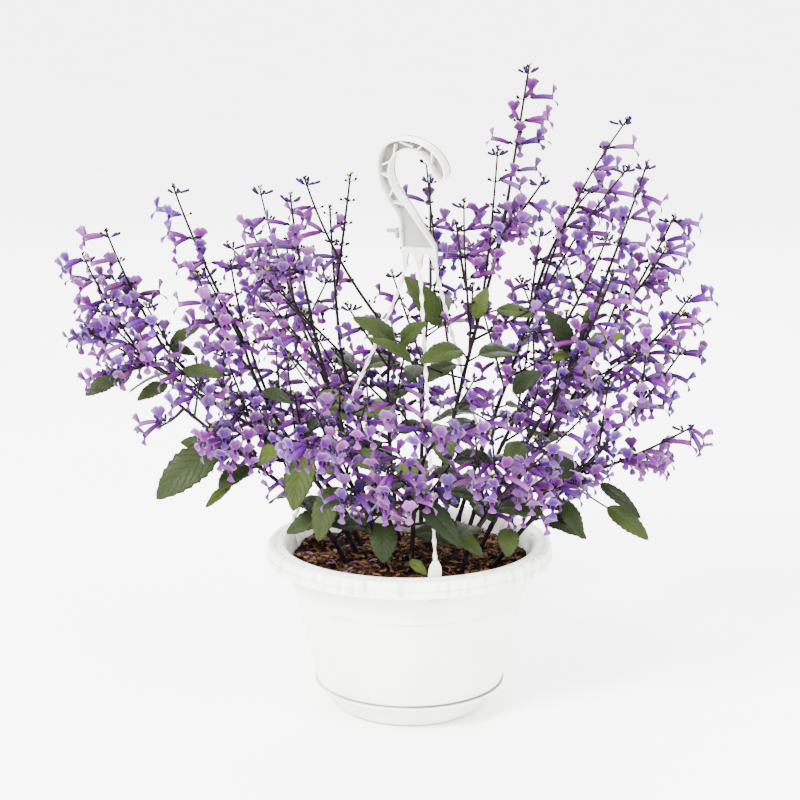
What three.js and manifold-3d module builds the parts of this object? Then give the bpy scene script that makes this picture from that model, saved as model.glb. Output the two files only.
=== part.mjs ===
// A potted mona lavender plectranthus: a white hanging-basket pot with its snap-on saucer and
// one-piece plastic hanger, filled with bark mix, and a plant with dark square stems, toothed
// leaves and open sprays of two-lipped lavender flowers. Millimetres, +Z up, origin at the centre
// of the saucer's flat underside. -Y is the side with the strand that hangs down in front.

import * as THREE from "three";
import { mergeVertices } from "three/addons/utils/BufferGeometryUtils.js";
import Module from "manifold-3d";

const wasm = await Module();
wasm.setup();

// Pot: a tapered shell with a turned-down rim, on a spigot that stands in the saucer.
const RIM_R = 125;
const RIM_TOP = 150;
const RIM_SKIRT = 15;
const MOUTH_R = 111;
const WALL = 2.3;
const SEAM_R = 82;
const SEAM_Z = 25.6;
const SHOULDER_Z = 147;
const SHOULDER_R = 110.5;
const LEDGE_Z = 104;
const LEDGE_OUT = 0.8;
const SPIGOT_R = 69.5;
const SPIGOT_FOOT_R = 62;
const SPIGOT_BEND_Z = 15;
const FLOOR_Z = 7;
const ROUND_SIDES = 32;
const DRAIN_HOLES = 4;
const DRAIN_R = 4;
const DRAIN_RING_R = 38;

// Saucer: a shallow dish with a thin lip just wider than the pot above it.
const LIP_R = 84;
const LIP_Z = 25.2;
const DISH_R = 74;
const BASE_R = 60;
const SAUCER_WALL = 2.2;

// Hanger: hook and plate in one upright plane, three strands, and a clip on each.
const CLIP_AZIMUTHS = [11, 131, 251];
const CLIP_WIDTH = 11;
const CLIP_THICK = 2.4;
const CLIP_TOP = 163;
const CLIP_FOOT = 126;
const CLIP_GAP = 1;
const CLIP_TOE_Z = 129;
const CLIP_TOE_WIDTH = 9;
const CLIP_TOE_HEIGHT = 3;
const CLIP_TOE_OUT = 2.4;
const SLOT_GAP = 0.4;
const STRAND_R = 1.9;
const PLATE_FOOT = new THREE.Vector3(6, 0, 395);
const PLATE_TURN = -25;
const PLATE_LEAN = 12;
const HOOK_DEPTH = 12;
const HOOK_LEFT = -24.3;
const HOOK_RIGHT = 38.5;
const HOOK_TOP = 112;
const HOOK_BAND = 11;
const HOOK_STEPS = 5;
const LEG_END = -3;
const ARCH_HEIGHT = 13.5;
const HOOK_RIM = 2.2;
const HOOK_WEB = 2.6;
const PLATE_TAPER = 7.5;
const RIB = 1.8;
const RIB_COUNT = 8;
const RIB_LENGTH = 12;
const RIB_TURN = 48;
const RIB_TOP = 8;
const LEG_PLACES = [-9.75, 3.5, 18.5];
const LEG_DEPTH = -2.4;
const STRAND_CLIPS = [251, 11, 131];
const STRAND_SIDES = 5;
const STRAND_STEPS = 4;
const FACET = Math.cos(Math.PI / ROUND_SIDES);

// Bark mix: fills the pot to a little under the rim, with a mounded, uneven top.
const MIX_GAP = 1.2;
const MIX_TOP = 131;
const MIX_MOUND = 7;
const MIX_RINGS = [30, 62, 90];
const MIX_SIDES = 20;
const HOLE_GAP = 0.5;

// Plant. Each draw mixes the seed with its keys by the two factors.
const SEED = 20261;
const MIX_A = 2654435761;
const MIX_B = 2246822519;
const STEM_SIDES = 4;
const STEM_STEPS = 5;
const STEM_ROOT_R = 2.9;
const STEM_TIP_R = 1.6;
const RACHIS_ROOT_R = 1.35;
const RACHIS_TIP_R = 0.75;
const RACHIS_SIDES = 4;
const RACHIS_STEPS = 3;
const NODE_CLEAR = 0.6;
const FORK = 0.34;
const WHORL_STEP = 22;
const PEDICEL = 6;
const TUBE = 19;
const CALYX_LENGTH = 3;
const BUD_LENGTH = 13;

const COLOURS = {
  pot: [0xf1f1ec, 0.45],
  saucer: [0xeaebe4, 0.5],
  hanger: [0xe6e4dc, 0.5],
  mix: [0x6b3f22, 0.95],
  stem: [0x2c2028, 0.6],
  flower: [0x9a6cc4, 0.7],
};

const UP = new THREE.Vector3(0, 0, 1);
const point = (x, y, z) => new THREE.Vector3(x, y, z);
const radians = THREE.MathUtils.degToRad;

// A manifold solid from a closed geometry.
function solidOf(geometry) {
  const bare = geometry.clone();
  bare.deleteAttribute("normal");
  bare.deleteAttribute("uv");
  const merged = mergeVertices(bare, 1e-4);
  const made = new wasm.Manifold(
    new wasm.Mesh({
      numProp: 3,
      vertProperties: new Float32Array(merged.attributes.position.array),
      triVerts: new Uint32Array(merged.index.array),
    }),
  );
  if (made.volume() > 0) return made;
  throw new Error("a solid is inside out");
}

// A solid from points and the faces between them.
function solidOfFaces(points, faces) {
  const geometry = new THREE.BufferGeometry().setFromPoints(points);
  geometry.setIndex(faces.flat());
  return solidOf(geometry);
}

function joined(solids) {
  return solids.reduce((sum, one) => sum.add(one));
}

function node(name, solid, [colour, roughness]) {
  const made = solid.getMesh();
  const geometry = new THREE.BufferGeometry();
  geometry.setAttribute("position", new THREE.BufferAttribute(made.vertProperties, 3));
  geometry.setIndex(new THREE.BufferAttribute(made.triVerts, 1));
  geometry.computeVertexNormals();
  const material = new THREE.MeshStandardMaterial({ color: colour, roughness, metalness: 0 });
  const mesh = new THREE.Mesh(geometry, material);
  mesh.name = name;
  return mesh;
}

// A closed cylinder bent along a curve, tapering from one radius to another. Its first end can be
// sunk back by a little.
function bentRod(curve, startRadius, endRadius, sides, steps, sunk = 0) {
  const geometry = new THREE.CylinderGeometry(1, 1, 1, sides, steps);
  const frames = curve.computeFrenetFrames(steps, false);
  const places = geometry.attributes.position;
  for (let i = 0; i < places.count; i++) {
    const along = places.getY(i) + 0.5;
    const step = Math.round(along * steps);
    const radius = THREE.MathUtils.lerp(startRadius, endRadius, along);
    const place = curve
      .getPointAt(step / steps)
      .addScaledVector(frames.normals[step], places.getX(i) * radius)
      .addScaledVector(frames.binormals[step], -places.getZ(i) * radius);
    if (step === 0) place.addScaledVector(frames.tangents[0], -sunk);
    places.setXYZ(i, place.x, place.y, place.z);
  }
  return solidOf(geometry);
}

function turnedSolid(profile, sides) {
  const points = profile.map(([r, z]) => new THREE.Vector2(r, z));
  return solidOf(new THREE.LatheGeometry(points, sides).rotateX(Math.PI / 2));
}

function box(width, depth, height, matrix) {
  return solidOf(new THREE.BoxGeometry(width, depth, height).applyMatrix4(matrix));
}

function wallRadius(z) {
  const share = (z - SEAM_Z) / (SHOULDER_Z - SEAM_Z);
  return THREE.MathUtils.lerp(SEAM_R, SHOULDER_R, share) + (z > LEDGE_Z ? LEDGE_OUT : 0);
}

function liningRadius(z) {
  const share = (z - SEAM_Z) / (RIM_TOP - SEAM_Z);
  return THREE.MathUtils.lerp(SEAM_R - WALL, MOUTH_R - 2, share);
}

// A place on the wall, facing out along -Y before it is turned to its azimuth from the front.
function wallFrame(azimuth, radius, z) {
  return new THREE.Matrix4()
    .makeRotationZ(radians(azimuth))
    .multiply(new THREE.Matrix4().makeTranslation(0, -radius, z));
}

function pot() {
  const profile = [
    [0, FLOOR_Z],
    [SPIGOT_FOOT_R, FLOOR_Z],
    [SPIGOT_R, SPIGOT_BEND_Z],
    [SPIGOT_R + 1, SPIGOT_BEND_Z + 2.5],
    [78, SEAM_Z],
    [SEAM_R, SEAM_Z],
    [wallRadius(LEDGE_Z), LEDGE_Z],
    [wallRadius(LEDGE_Z) + LEDGE_OUT, LEDGE_Z + 1],
    [SHOULDER_R + LEDGE_OUT, SHOULDER_Z],
    [RIM_R - WALL, SHOULDER_Z + 0.4],
    [RIM_R - WALL, RIM_TOP - RIM_SKIRT],
    [RIM_R, RIM_TOP - RIM_SKIRT],
    [RIM_R, RIM_TOP - 1.5],
    [RIM_R - 1.5, RIM_TOP],
    [MOUTH_R, RIM_TOP],
    [liningRadius(RIM_TOP - 1.5), RIM_TOP - 1.5],
    [SEAM_R - WALL, SEAM_Z + 3],
    [SPIGOT_R - WALL, SPIGOT_BEND_Z + 2.5],
    [SPIGOT_FOOT_R - 1.5, FLOOR_Z + WALL],
    [0, FLOOR_Z + WALL],
  ];
  let shell = turnedSolid(profile, ROUND_SIDES);
  for (const azimuth of CLIP_AZIMUTHS) {
    const slot = wallFrame(azimuth, wallRadius(CLIP_TOE_Z), CLIP_TOE_Z);
    const width = CLIP_TOE_WIDTH + 2 * SLOT_GAP;
    shell = shell.subtract(box(width, 12, CLIP_TOE_HEIGHT + 2 * SLOT_GAP, slot));
  }
  for (let i = 0; i < DRAIN_HOLES; i++) {
    const angle = (i * 2 * Math.PI) / DRAIN_HOLES + 0.6;
    const drain = new THREE.CylinderGeometry(DRAIN_R, DRAIN_R, 20, 8)
      .rotateX(Math.PI / 2)
      .translate(DRAIN_RING_R * Math.cos(angle), DRAIN_RING_R * Math.sin(angle), FLOOR_Z);
    shell = shell.subtract(solidOf(drain));
  }
  return shell;
}

function saucer() {
  const profile = [
    [0, 0],
    [BASE_R, 0],
    [67, 4.5],
    [DISH_R - 1, 15],
    [DISH_R + 2, 21.5],
    [LIP_R, 22.5],
    [LIP_R, LIP_Z],
    [78.8, LIP_Z],
    [DISH_R - SAUCER_WALL + 0.4, 17],
    [67 - SAUCER_WALL, 6.2],
    [BASE_R - 1, SAUCER_WALL],
    [0, SAUCER_WALL],
  ];
  return turnedSolid(profile, ROUND_SIDES);
}

// The mix's uneven top: a low mound with lumps.
function mixHeight(x, y) {
  const mound = MIX_MOUND * (1 - (x * x + y * y) / (SHOULDER_R * SHOULDER_R));
  return MIX_TOP + mound + 2 * Math.sin(x / 11 + y / 17) + 1.6 * Math.sin(y / 9 - x / 23);
}

function pottingMix(stemCurves) {
  const side = (z) => [liningRadius(z) - MIX_GAP, z];
  const profile = [
    [0, FLOOR_Z + WALL + MIX_GAP],
    [SPIGOT_FOOT_R - 4, FLOOR_Z + WALL + MIX_GAP],
    [SPIGOT_R - WALL - 1.5, SPIGOT_BEND_Z + 3.2],
    side(SEAM_Z + 5),
    side(MIX_TOP - 5),
    ...MIX_RINGS.toReversed().map((r) => [r, MIX_TOP]),
    [0, MIX_TOP],
  ];
  const geometry = new THREE.LatheGeometry(
    profile.map(([r, z]) => new THREE.Vector2(r, z)),
    MIX_SIDES,
  ).rotateX(Math.PI / 2);
  const places = geometry.attributes.position;
  for (let i = 0; i < places.count; i++) {
    if (places.getZ(i) < MIX_TOP - 1) continue;
    places.setZ(i, mixHeight(places.getX(i), places.getY(i)));
  }
  const holes = stemCurves.map((curve) =>
    bentRod(curve, STEM_ROOT_R + HOLE_GAP, STEM_TIP_R + HOLE_GAP, STEM_SIDES, STEM_STEPS, HOLE_GAP),
  );
  const recesses = CLIP_AZIMUTHS.map((azimuth) =>
    box(CLIP_WIDTH + 2, 8, 24, wallFrame(azimuth, wallRadius(CLIP_TOE_Z) - 5, CLIP_TOE_Z + 6)),
  );
  return [...holes, ...recesses].reduce((mix, cut) => mix.subtract(cut), solidOf(geometry));
}

// The hook's and plate's outline in their own plane, drawn in by an inset all round: x across,
// y up from the plate's foot. The foot's three legs are left out of an inset outline.
function hangerOutline(inset) {
  const shape = new THREE.Shape();
  const foot = inset > 0 ? 15 : LEG_END;
  const left = HOOK_LEFT + inset;
  const top = HOOK_TOP - inset;
  const right = HOOK_RIGHT - inset;
  const innerTop = HOOK_TOP - HOOK_BAND + inset;
  const innerLeft = HOOK_LEFT + HOOK_BAND + 1 - inset;
  shape.moveTo(-11.5 + inset, foot);
  shape.lineTo(-9.5 + inset, 40);
  shape.bezierCurveTo(-9.5 + inset, 50, left, 62, left, 82);
  shape.bezierCurveTo(left, 102, -12, top, 3.5, top);
  shape.bezierCurveTo(20, top, right, 98, right, 83);
  shape.quadraticCurveTo(right, 76 + inset, 31 + inset / 2, 76 + inset);
  shape.bezierCurveTo(26, 82 + inset, 23 + inset, innerTop, 5, innerTop);
  shape.bezierCurveTo(-6, innerTop, innerLeft, 93, innerLeft, 81);
  shape.bezierCurveTo(innerLeft, 68, -4 - inset, 60, -inset * 0.9, 54 - inset / 2);
  shape.lineTo(21 - inset * 1.4, 17);
  if (inset > 0) {
    shape.lineTo(21 - inset * 1.4, foot);
    return shape;
  }
  shape.lineTo(20.5, LEG_END);
  shape.lineTo(16.5, LEG_END);
  shape.absellipse(11, LEG_END, 5.5, ARCH_HEIGHT, 0, Math.PI, false);
  shape.lineTo(1.5, LEG_END);
  shape.absellipse(-3.25, LEG_END, 4.75, ARCH_HEIGHT, 0, Math.PI, false);
  return shape;
}

const HANGER_PLACE = new THREE.Matrix4()
  .makeTranslation(PLATE_FOOT)
  .multiply(new THREE.Matrix4().makeRotationZ(radians(PLATE_TURN)))
  .multiply(new THREE.Matrix4().makeRotationX(radians(PLATE_LEAN)));

const onHanger = (matrix) => HANGER_PLACE.clone().multiply(matrix);

// A plate of the hook's outline between two depths in front of its back face.
function hangerSlab(inset, from, to) {
  const geometry = new THREE.ExtrudeGeometry(hangerOutline(inset), {
    depth: to - from,
    bevelEnabled: false,
    curveSegments: HOOK_STEPS,
  });
  return solidOf(geometry.translate(0, 0, from).rotateX(Math.PI / 2).applyMatrix4(HANGER_PLACE));
}

// Thin ribs that zigzag along the channel, from above the plate round the hook.
function hangerRibs() {
  const middle = new THREE.CatmullRomCurve3([
    point(-4, 0, 49),
    point(-12, 0, 62),
    point(-18, 0, 81),
    point(-12, 0, 98),
    point(4, 0, 106.5),
    point(20, 0, 103),
    point(30, 0, 92),
  ]);
  const ribs = [];
  for (let i = 0; i < RIB_COUNT; i++) {
    const place = middle.getPointAt((i + 0.5) / RIB_COUNT);
    const way = middle.getTangentAt((i + 0.5) / RIB_COUNT);
    const turn = -Math.atan2(way.z, way.x) + radians(i % 2 ? RIB_TURN : -RIB_TURN);
    const matrix = new THREE.Matrix4()
      .makeTranslation(place.x, -(RIB_TOP + 1) / 2, place.z)
      .multiply(new THREE.Matrix4().makeRotationY(turn));
    ribs.push(box(RIB_LENGTH, RIB_TOP - 1, RIB, onHanger(matrix)));
  }
  return ribs;
}

// A clip's place in the pot: a tab against the lining with a toe through the wall's slot.
function clip(azimuth) {
  const shape = new THREE.Shape();
  const half = CLIP_WIDTH / 2;
  shape.moveTo(-half, CLIP_FOOT);
  shape.lineTo(half, CLIP_FOOT);
  shape.lineTo(half, CLIP_TOP - 7);
  shape.quadraticCurveTo(half, CLIP_TOP - 1, 2.5, CLIP_TOP);
  shape.lineTo(-2.5, CLIP_TOP);
  shape.quadraticCurveTo(-half, CLIP_TOP - 1, -half, CLIP_TOP - 7);
  const tab = new THREE.ExtrudeGeometry(shape, {
    depth: CLIP_THICK,
    bevelEnabled: false,
    curveSegments: 2,
  }).rotateX(Math.PI / 2);
  const places = tab.attributes.position;
  const outFace = (z) => liningRadius(z) * FACET - CLIP_GAP;
  for (let i = 0; i < places.count; i++) {
    places.setY(i, places.getY(i) + CLIP_THICK - outFace(places.getZ(i)));
  }
  const turn = new THREE.Matrix4().makeRotationZ(radians(azimuth));
  const toeIn = outFace(CLIP_TOE_Z) - 1;
  const toeOut = wallRadius(CLIP_TOE_Z) + CLIP_TOE_OUT;
  const toePlace = wallFrame(azimuth, (toeIn + toeOut) / 2, CLIP_TOE_Z);
  const toe = box(CLIP_TOE_WIDTH, toeOut - toeIn, CLIP_TOE_HEIGHT, toePlace);
  return solidOf(tab.applyMatrix4(turn)).add(toe);
}

function strand(legAcross, azimuth) {
  const leg = point(legAcross, LEG_DEPTH, -1).applyMatrix4(HANGER_PLACE);
  const bend = point(legAcross, LEG_DEPTH, -22).applyMatrix4(HANGER_PLACE);
  const top = CLIP_TOP - 3;
  const radius = liningRadius(top) * FACET - CLIP_GAP - CLIP_THICK / 2;
  const foot = point(0, -radius, top).applyAxisAngle(UP, radians(azimuth));
  const before = foot.clone().lerp(bend, 0.15).add(point(0, 0, 4));
  const curve = new THREE.CubicBezierCurve3(leg, bend, before, foot);
  return bentRod(curve, STRAND_R, STRAND_R, STRAND_SIDES, STRAND_STEPS);
}

function hanger() {
  const body = joined([
    hangerSlab(0, 0, HOOK_DEPTH).subtract(hangerSlab(HOOK_RIM, HOOK_WEB, HOOK_DEPTH + 1)),
    ...hangerRibs(),
  ]);
  const taper = new THREE.Matrix4()
    .makeTranslation(0, -8.5, 23.5)
    .multiply(new THREE.Matrix4().makeRotationX(radians(PLATE_TAPER)))
    .multiply(new THREE.Matrix4().makeTranslation(0, -10, -8));
  const peg = [
    box(14, 3, 3, onHanger(new THREE.Matrix4().makeTranslation(-15.5, -5, 29.5))),
    box(2.4, 3.4, 9, onHanger(new THREE.Matrix4().makeTranslation(-13.5, -5, 27.5))),
  ];
  const strands = LEG_PLACES.map((across, i) => strand(across, STRAND_CLIPS[i]));
  const clips = CLIP_AZIMUTHS.map(clip);
  return joined([body.subtract(box(60, 20, 70, onHanger(taper))), ...peg, ...strands, ...clips]);
}

function draw(...keys) {
  let mixed = SEED;
  for (const key of keys) {
    mixed = Math.imul(mixed ^ key, MIX_A) >>> 0;
    mixed ^= mixed >>> 15;
    mixed = Math.imul(mixed, MIX_B) >>> 0;
    mixed ^= mixed >>> 13;
  }
  return (mixed >>> 0) / 2 ** 32;
}

const spread = (low, high, ...keys) => low + (high - low) * draw(...keys);
const vector = ([x, y, z]) => point(x, y, z);

// Three points round a place: two on the upper side, left and right of the way, and one below.
function ring(place, way, upper, radius) {
  const right = way.clone().cross(upper).normalize();
  const up = right.clone().cross(way).normalize();
  const at = (r, u) => place.clone().addScaledVector(right, r * radius).addScaledVector(up, u * radius);
  return [at(-0.87, 0.5), at(0.87, 0.5), at(0, -1)];
}

// Faces from a point to a ring of three, given by the number of the ring's first point.
function fan(apex, first) {
  return [0, 1, 2].map((i) => [apex, first + ((i + 1) % 3), first + i]);
}

// Faces between two rings of three, given by the numbers of their first points.
function band(first, second) {
  return [0, 1, 2].flatMap((i) => {
    const j = (i + 1) % 3;
    return [
      [first + i, first + j, second + j],
      [first + i, second + j, second + i],
    ];
  });
}

// A toothed leaf on its stalk, whose root is sunk in the stem: one closed solid, thick along the
// midrib and thin at the toothed edge. Its upper side looks as near as it can to the facing.
const TOOTH_PLACES = [0.1, 0.22, 0.36, 0.48, 0.62, 0.74, 0.87];
const RIB_PLACES = [0.3, 0.66];
const TOOTH_OUT = 1.07;
const TOOTH_IN = 0.86;
const STALK_R = 0.95;
const RIB_RISE = 0.8;
const RIB_DROP = 1;
const BLADE_FOLD = 0.28;
const BLADE_ARCH = 0.1;
const LEAF_OUT = 1.3;

function leafFaces() {
  const [left, right, upper, lower] = [6, 13, 20, 22];
  const tip = 24;
  const under = 5;
  const half = (edge, first, rib) => {
    const faces = [];
    for (let i = 0; i < 6; i++) faces.push([edge + i, rib + (i < 3 ? 0 : 1), edge + i + 1]);
    return [[first, rib, edge], ...faces, [edge + 3, rib, rib + 1], [edge + 6, rib + 1, tip]];
  };
  const turned = (faces) => faces.map(([a, b, c]) => [a, c, b]);
  return [
    [2, 1, 0],
    ...band(0, 3),
    [3, 4, upper],
    ...half(left, 3, upper),
    ...turned(half(right, 4, upper)),
    ...turned(half(left, 3, lower)),
    ...half(right, 4, lower),
    [3, lower, under],
    [4, under, lower],
  ];
}

function leafSolid({ root, foot, tip, width, facing }) {
  const blade = tip.clone().sub(foot);
  const length = blade.length();
  const along = blade.clone().normalize();
  const across = along.clone().cross(facing).normalize();
  const upper = across.clone().cross(along);
  const stalk = foot.clone().sub(root).normalize();
  const middle = stalk.clone().add(along).normalize();
  const sideways = Math.abs(stalk.dot(across)) > 0.8;
  const upOf = (way) => (sideways ? upper : across.clone().cross(way));
  const at = (share, side, rise) =>
    foot
      .clone()
      .addScaledVector(along, share * length)
      .addScaledVector(across, side)
      .addScaledVector(upper, rise + BLADE_ARCH * length * Math.sin(Math.PI * share));
  const edge = (sign) =>
    TOOTH_PLACES.map((share, i) => {
      const tooth = i % 2 ? TOOTH_IN : TOOTH_OUT;
      const half = (width / 2) * tooth * Math.sin(Math.PI * share ** 0.8) ** 0.7;
      return at(share, sign * half, half * BLADE_FOLD);
    });
  const points = [
    ...ring(root, stalk, upOf(stalk), STALK_R),
    ...ring(foot, middle, upOf(middle), STALK_R),
    ...edge(-1),
    ...edge(1),
    ...RIB_PLACES.map((share) => at(share, 0, RIB_RISE)),
    ...RIB_PLACES.map((share) => at(share, 0, -RIB_DROP)),
    at(1, 0, 0),
  ];
  return solidOfFaces(points, leafFaces());
}

// A flower: a stalk and tube that widen to the mouth, an upright upper lip with two lobes and a
// lower lip that hangs to a point.
const ROOT_SUNK = 0.6;
const FLOWER_FACES = (() => {
  const [left, right, low] = [1, 2, 3];
  const [back, leftLobe, notch, rightLobe] = [4, 5, 6, 7];
  const [boat, throat] = [8, 9];
  return [
    ...fan(0, left),
    [left, right, back],
    [left, back, leftLobe],
    [leftLobe, back, notch],
    [notch, back, rightLobe],
    [rightLobe, back, right],
    [low, left, boat],
    [low, boat, right],
    [left, leftLobe, notch],
    [left, notch, throat],
    [notch, right, throat],
    [notch, rightLobe, right],
    [right, boat, throat],
    [boat, left, throat],
  ];
})();

function flowerSolid({ root, heading, lift, size }) {
  const stalk = heading.clone().addScaledVector(UP, 0.35).normalize();
  const tube = heading.clone().multiplyScalar(Math.cos(lift)).addScaledVector(UP, Math.sin(lift));
  const calyx = root.clone().addScaledVector(stalk, PEDICEL);
  const mouth = calyx.clone().addScaledVector(tube, TUBE * size);
  const right = tube.clone().cross(UP).normalize();
  const up = right.clone().cross(tube);
  const at = (r, u, a) =>
    mouth
      .clone()
      .addScaledVector(right, r * size)
      .addScaledVector(up, u * size)
      .addScaledVector(tube, a * size);
  const points = [
    root.clone().addScaledVector(stalk, -ROOT_SUNK),
    at(-2.1, 1.6, -1.1),
    at(2.1, 1.6, -1.1),
    at(0, -2.1, -0.6),
    at(0, 5, -1.3),
    at(-5.8, 10.5, 1),
    at(0, 8, 0.5),
    at(5.8, 10.5, 1),
    at(0, -9, 3.5),
    at(0, 0, 0.2),
  ];
  return solidOfFaces(points, FLOWER_FACES);
}

// A closed bud or an emptied calyx: a slim stalk, one swollen ring and a point.
function podSolid({ root, heading, lift, length, radius }) {
  const stalk = heading.clone().addScaledVector(UP, 0.35).normalize();
  const way = heading.clone().multiplyScalar(Math.cos(lift)).addScaledVector(UP, Math.sin(lift));
  const swell = root.clone().addScaledVector(stalk, PEDICEL);
  const tip = swell.clone().addScaledVector(way, length);
  const sunk = root.clone().addScaledVector(stalk, -ROOT_SUNK);
  const cone = [[1, 2, 4], [2, 3, 4], [3, 1, 4]];
  return solidOfFaces([sunk, ...ring(swell, way, UP, radius), tip], [...fan(0, 1), ...cone]);
}

// Leafy stems: where each leaves the mix, two bends and its tip.
const STEMS = {
  p1: [[-45, -20, 95], [-60, -30, 190], [-115, -62, 215], [-195, -70, 290]],
  p2: [[-40, 8, 95], [-55, 5, 230], [-160, -10, 260], [-228, 0, 312]],
  p3: [[-32, 28, 95], [-60, 40, 230], [-150, 35, 240], [-213, 15, 318]],
  p4: [[-28, -8, 95], [-70, -5, 215], [-125, -20, 250], [-142, -25, 335]],
  p5: [[-5, 30, 95], [-15, 35, 200], [-25, 40, 270], [-15, 30, 325]],
  p6: [[-15, -15, 95], [-35, -12, 200], [-75, -18, 290], [-85, -20, 360]],
  p6b: [[0, 8, 95], [-25, 15, 200], [-58, 35, 280], [-62, 50, 320]],
  p7: [[12, 12, 95], [22, 0, 200], [45, 0, 300], [77, 0, 412]],
  p8: [[28, 25, 95], [50, 25, 210], [90, 30, 280], [112, 30, 372]],
  p9: [[35, -8, 95], [60, -15, 190], [118, -20, 260], [142, -10, 320]],
  p10: [[48, 12, 95], [75, 15, 190], [130, 10, 240], [163, 10, 318]],
  p11: [[58, -18, 95], [80, -50, 180], [140, -52, 205], [172, -40, 255]],
  p12: [[-18, -45, 95], [-25, -60, 190], [-50, -95, 230], [-70, -135, 265]],
  p13: [[2, -48, 95], [0, -60, 200], [6, -112, 250], [18, -150, 272]],
  p14: [[38, -42, 95], [48, -60, 185], [70, -110, 215], [85, -140, 240]],
  p15: [[-25, 52, 95], [-40, 65, 200], [-80, 120, 270], [-105, 150, 325]],
  p16: [[10, 55, 95], [12, 70, 200], [10, 120, 280], [20, 150, 350]],
  p17: [[42, 45, 95], [60, 60, 195], [110, 110, 250], [140, 135, 310]],
};

// Sprays: the stem, the place along it, each tip with its count of open flowers, then how far the
// spray bows and swings, as shares of its length. A second tip forks from the first.
const SPRAYS = [
  ["p2", 1, [[-280, 10, 400, 4], [-285, 60, 320, 4]], 0.06, 0],
  ["p2", 0.86, [[-260, -50, 365, 5], [-260, -40, 305, 3]], 0.08, 0.05],
  ["p3", 1, [[-255, -20, 425, 4], [-260, 30, 380, 4]], 0.04, 0],
  ["p4", 1, [[-200, 0, 460, 5]], 0.05, 0],
  ["p4", 0.9, [[-175, -60, 395, 5]], 0.08, 0.05],
  ["p4", 0.78, [[-150, -30, 400, 4]], 0.08, -0.05],
  ["p6", 1, [[-100, -20, 455, 4], [-117, -80, 400, 5]], 0.03, 0],
  ["p6", 0.85, [[-130, 40, 455, 4], [-110, 80, 405, 1]], 0.1, 0],
  ["p5", 1, [[-90, 20, 465, 4]], 0.1, 0],
  ["p6b", 1, [[-70, 60, 435, 0], [-50, -10, 470, 0]], 0.02, 0],
  ["p7", 0.58, [[14, 60, 480, 0]], 0.04, 0],
  ["p7", 0.75, [[45, -20, 450, 3], [40, 20, 425, 3]], 0.08, 0],
  ["p7", 1, [[100, 10, 560, 5]], 0, 0],
  ["p7", 0.86, [[72, -35, 495, 4], [110, -45, 470, 4]], 0.05, 0],
  ["p8", 1, [[150, -30, 460, 4]], -0.12, 0],
  ["p8", 0.93, [[185, 20, 515, 4]], -0.1, 0],
  ["p8", 0.85, [[180, -40, 480, 4]], -0.06, 0.05],
  ["p9", 1, [[200, 0, 480, 5]], 0.02, 0],
  ["p9", 0.85, [[165, -70, 395, 5]], 0.06, 0],
  ["p10", 1, [[230, 40, 430, 5], [215, -20, 410, 4]], 0.04, 0],
  ["p10", 0.9, [[195, 60, 385, 4]], 0.06, 0],
  ["p10", 0.8, [[235, -30, 370, 5], [245, 70, 340, 4]], 0.1, 0],
  ["p11", 1, [[235, 0, 320, 4], [195, -60, 325, 4]], 0.06, 0],
  ["p11", 0.8, [[235, -60, 265, 4], [215, 50, 205, 2]], 0.05, 0],
  ["p1", 0.96, [[-210, -60, 265, 3]], 0.1, 0],
  ["p1", 0.7, [[-160, -120, 275, 4]], 0.05, 0],
  ["p12", 1, [[-105, -150, 280, 3], [-75, -160, 270, 4]], 0.05, 0],
  ["p12", 0.7, [[-50, -150, 220, 4]], -0.05, 0],
  ["p13", 1, [[10, -170, 290, 4], [70, -190, 305, 4]], 0.05, 0],
  ["p13", 0.6, [[-10, -150, 220, 3]], -0.05, 0],
  ["p14", 1, [[65, -150, 245, 4]], 0.05, 0],
  ["p14", 0.75, [[120, -120, 245, 4], [145, -90, 225, 4]], 0.05, 0],
  ["p15", 1, [[-150, 190, 400, 3], [-110, 200, 370, 3]], 0.05, 0],
  ["p15", 0.7, [[-140, 130, 330, 3]], 0.06, 0],
  ["p16", 1, [[20, 190, 450, 4], [60, 215, 380, 3]], 0.05, 0],
  ["p16", 0.7, [[-30, 180, 320, 3]], 0.05, 0],
  ["p17", 1, [[185, 150, 400, 3], [150, 190, 370, 3]], 0.05, 0],
  ["p17", 0.7, [[160, 100, 330, 3]], 0.05, 0],
];

// Short side sprays from each stem: how many, the stretch of stem that bears them, their turn away
// from the plant's middle, their rise and their length. They stay inside the crown's own outline
// and away from the hanger's plate.
const SIDE_SPRAYS = 4;
const SIDE_SHARES = [0.42, 0.97];
const SIDE_TURN = 1.5;
const SIDE_RISE = [25, 70];
const SIDE_LENGTH = [55, 105];
const SIDE_LEAST = 40;
const SIDE_FLOWERS = 2;
const SIDE_TURNS = [0, 25, -25, 50, -50, 75, -75];
const SIDE_SIDES = 3;
const SIDE_STEPS = 1;
const SIDE_ROOT_R = 1.2;
const SIDE_TIP_R = 0.7;
const CROWN_LOW = [-290, -200, 0];
const CROWN_HIGH = [250, 215, 560];
const CROWN_TOP = [[-300, 390], [-200, 440], [-60, 440], [40, 440], [90, 520], [200, 470], [260, 400]];
const PLATE_ROOM = [[-30, -50, 380], [62, 30, 520]];

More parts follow.
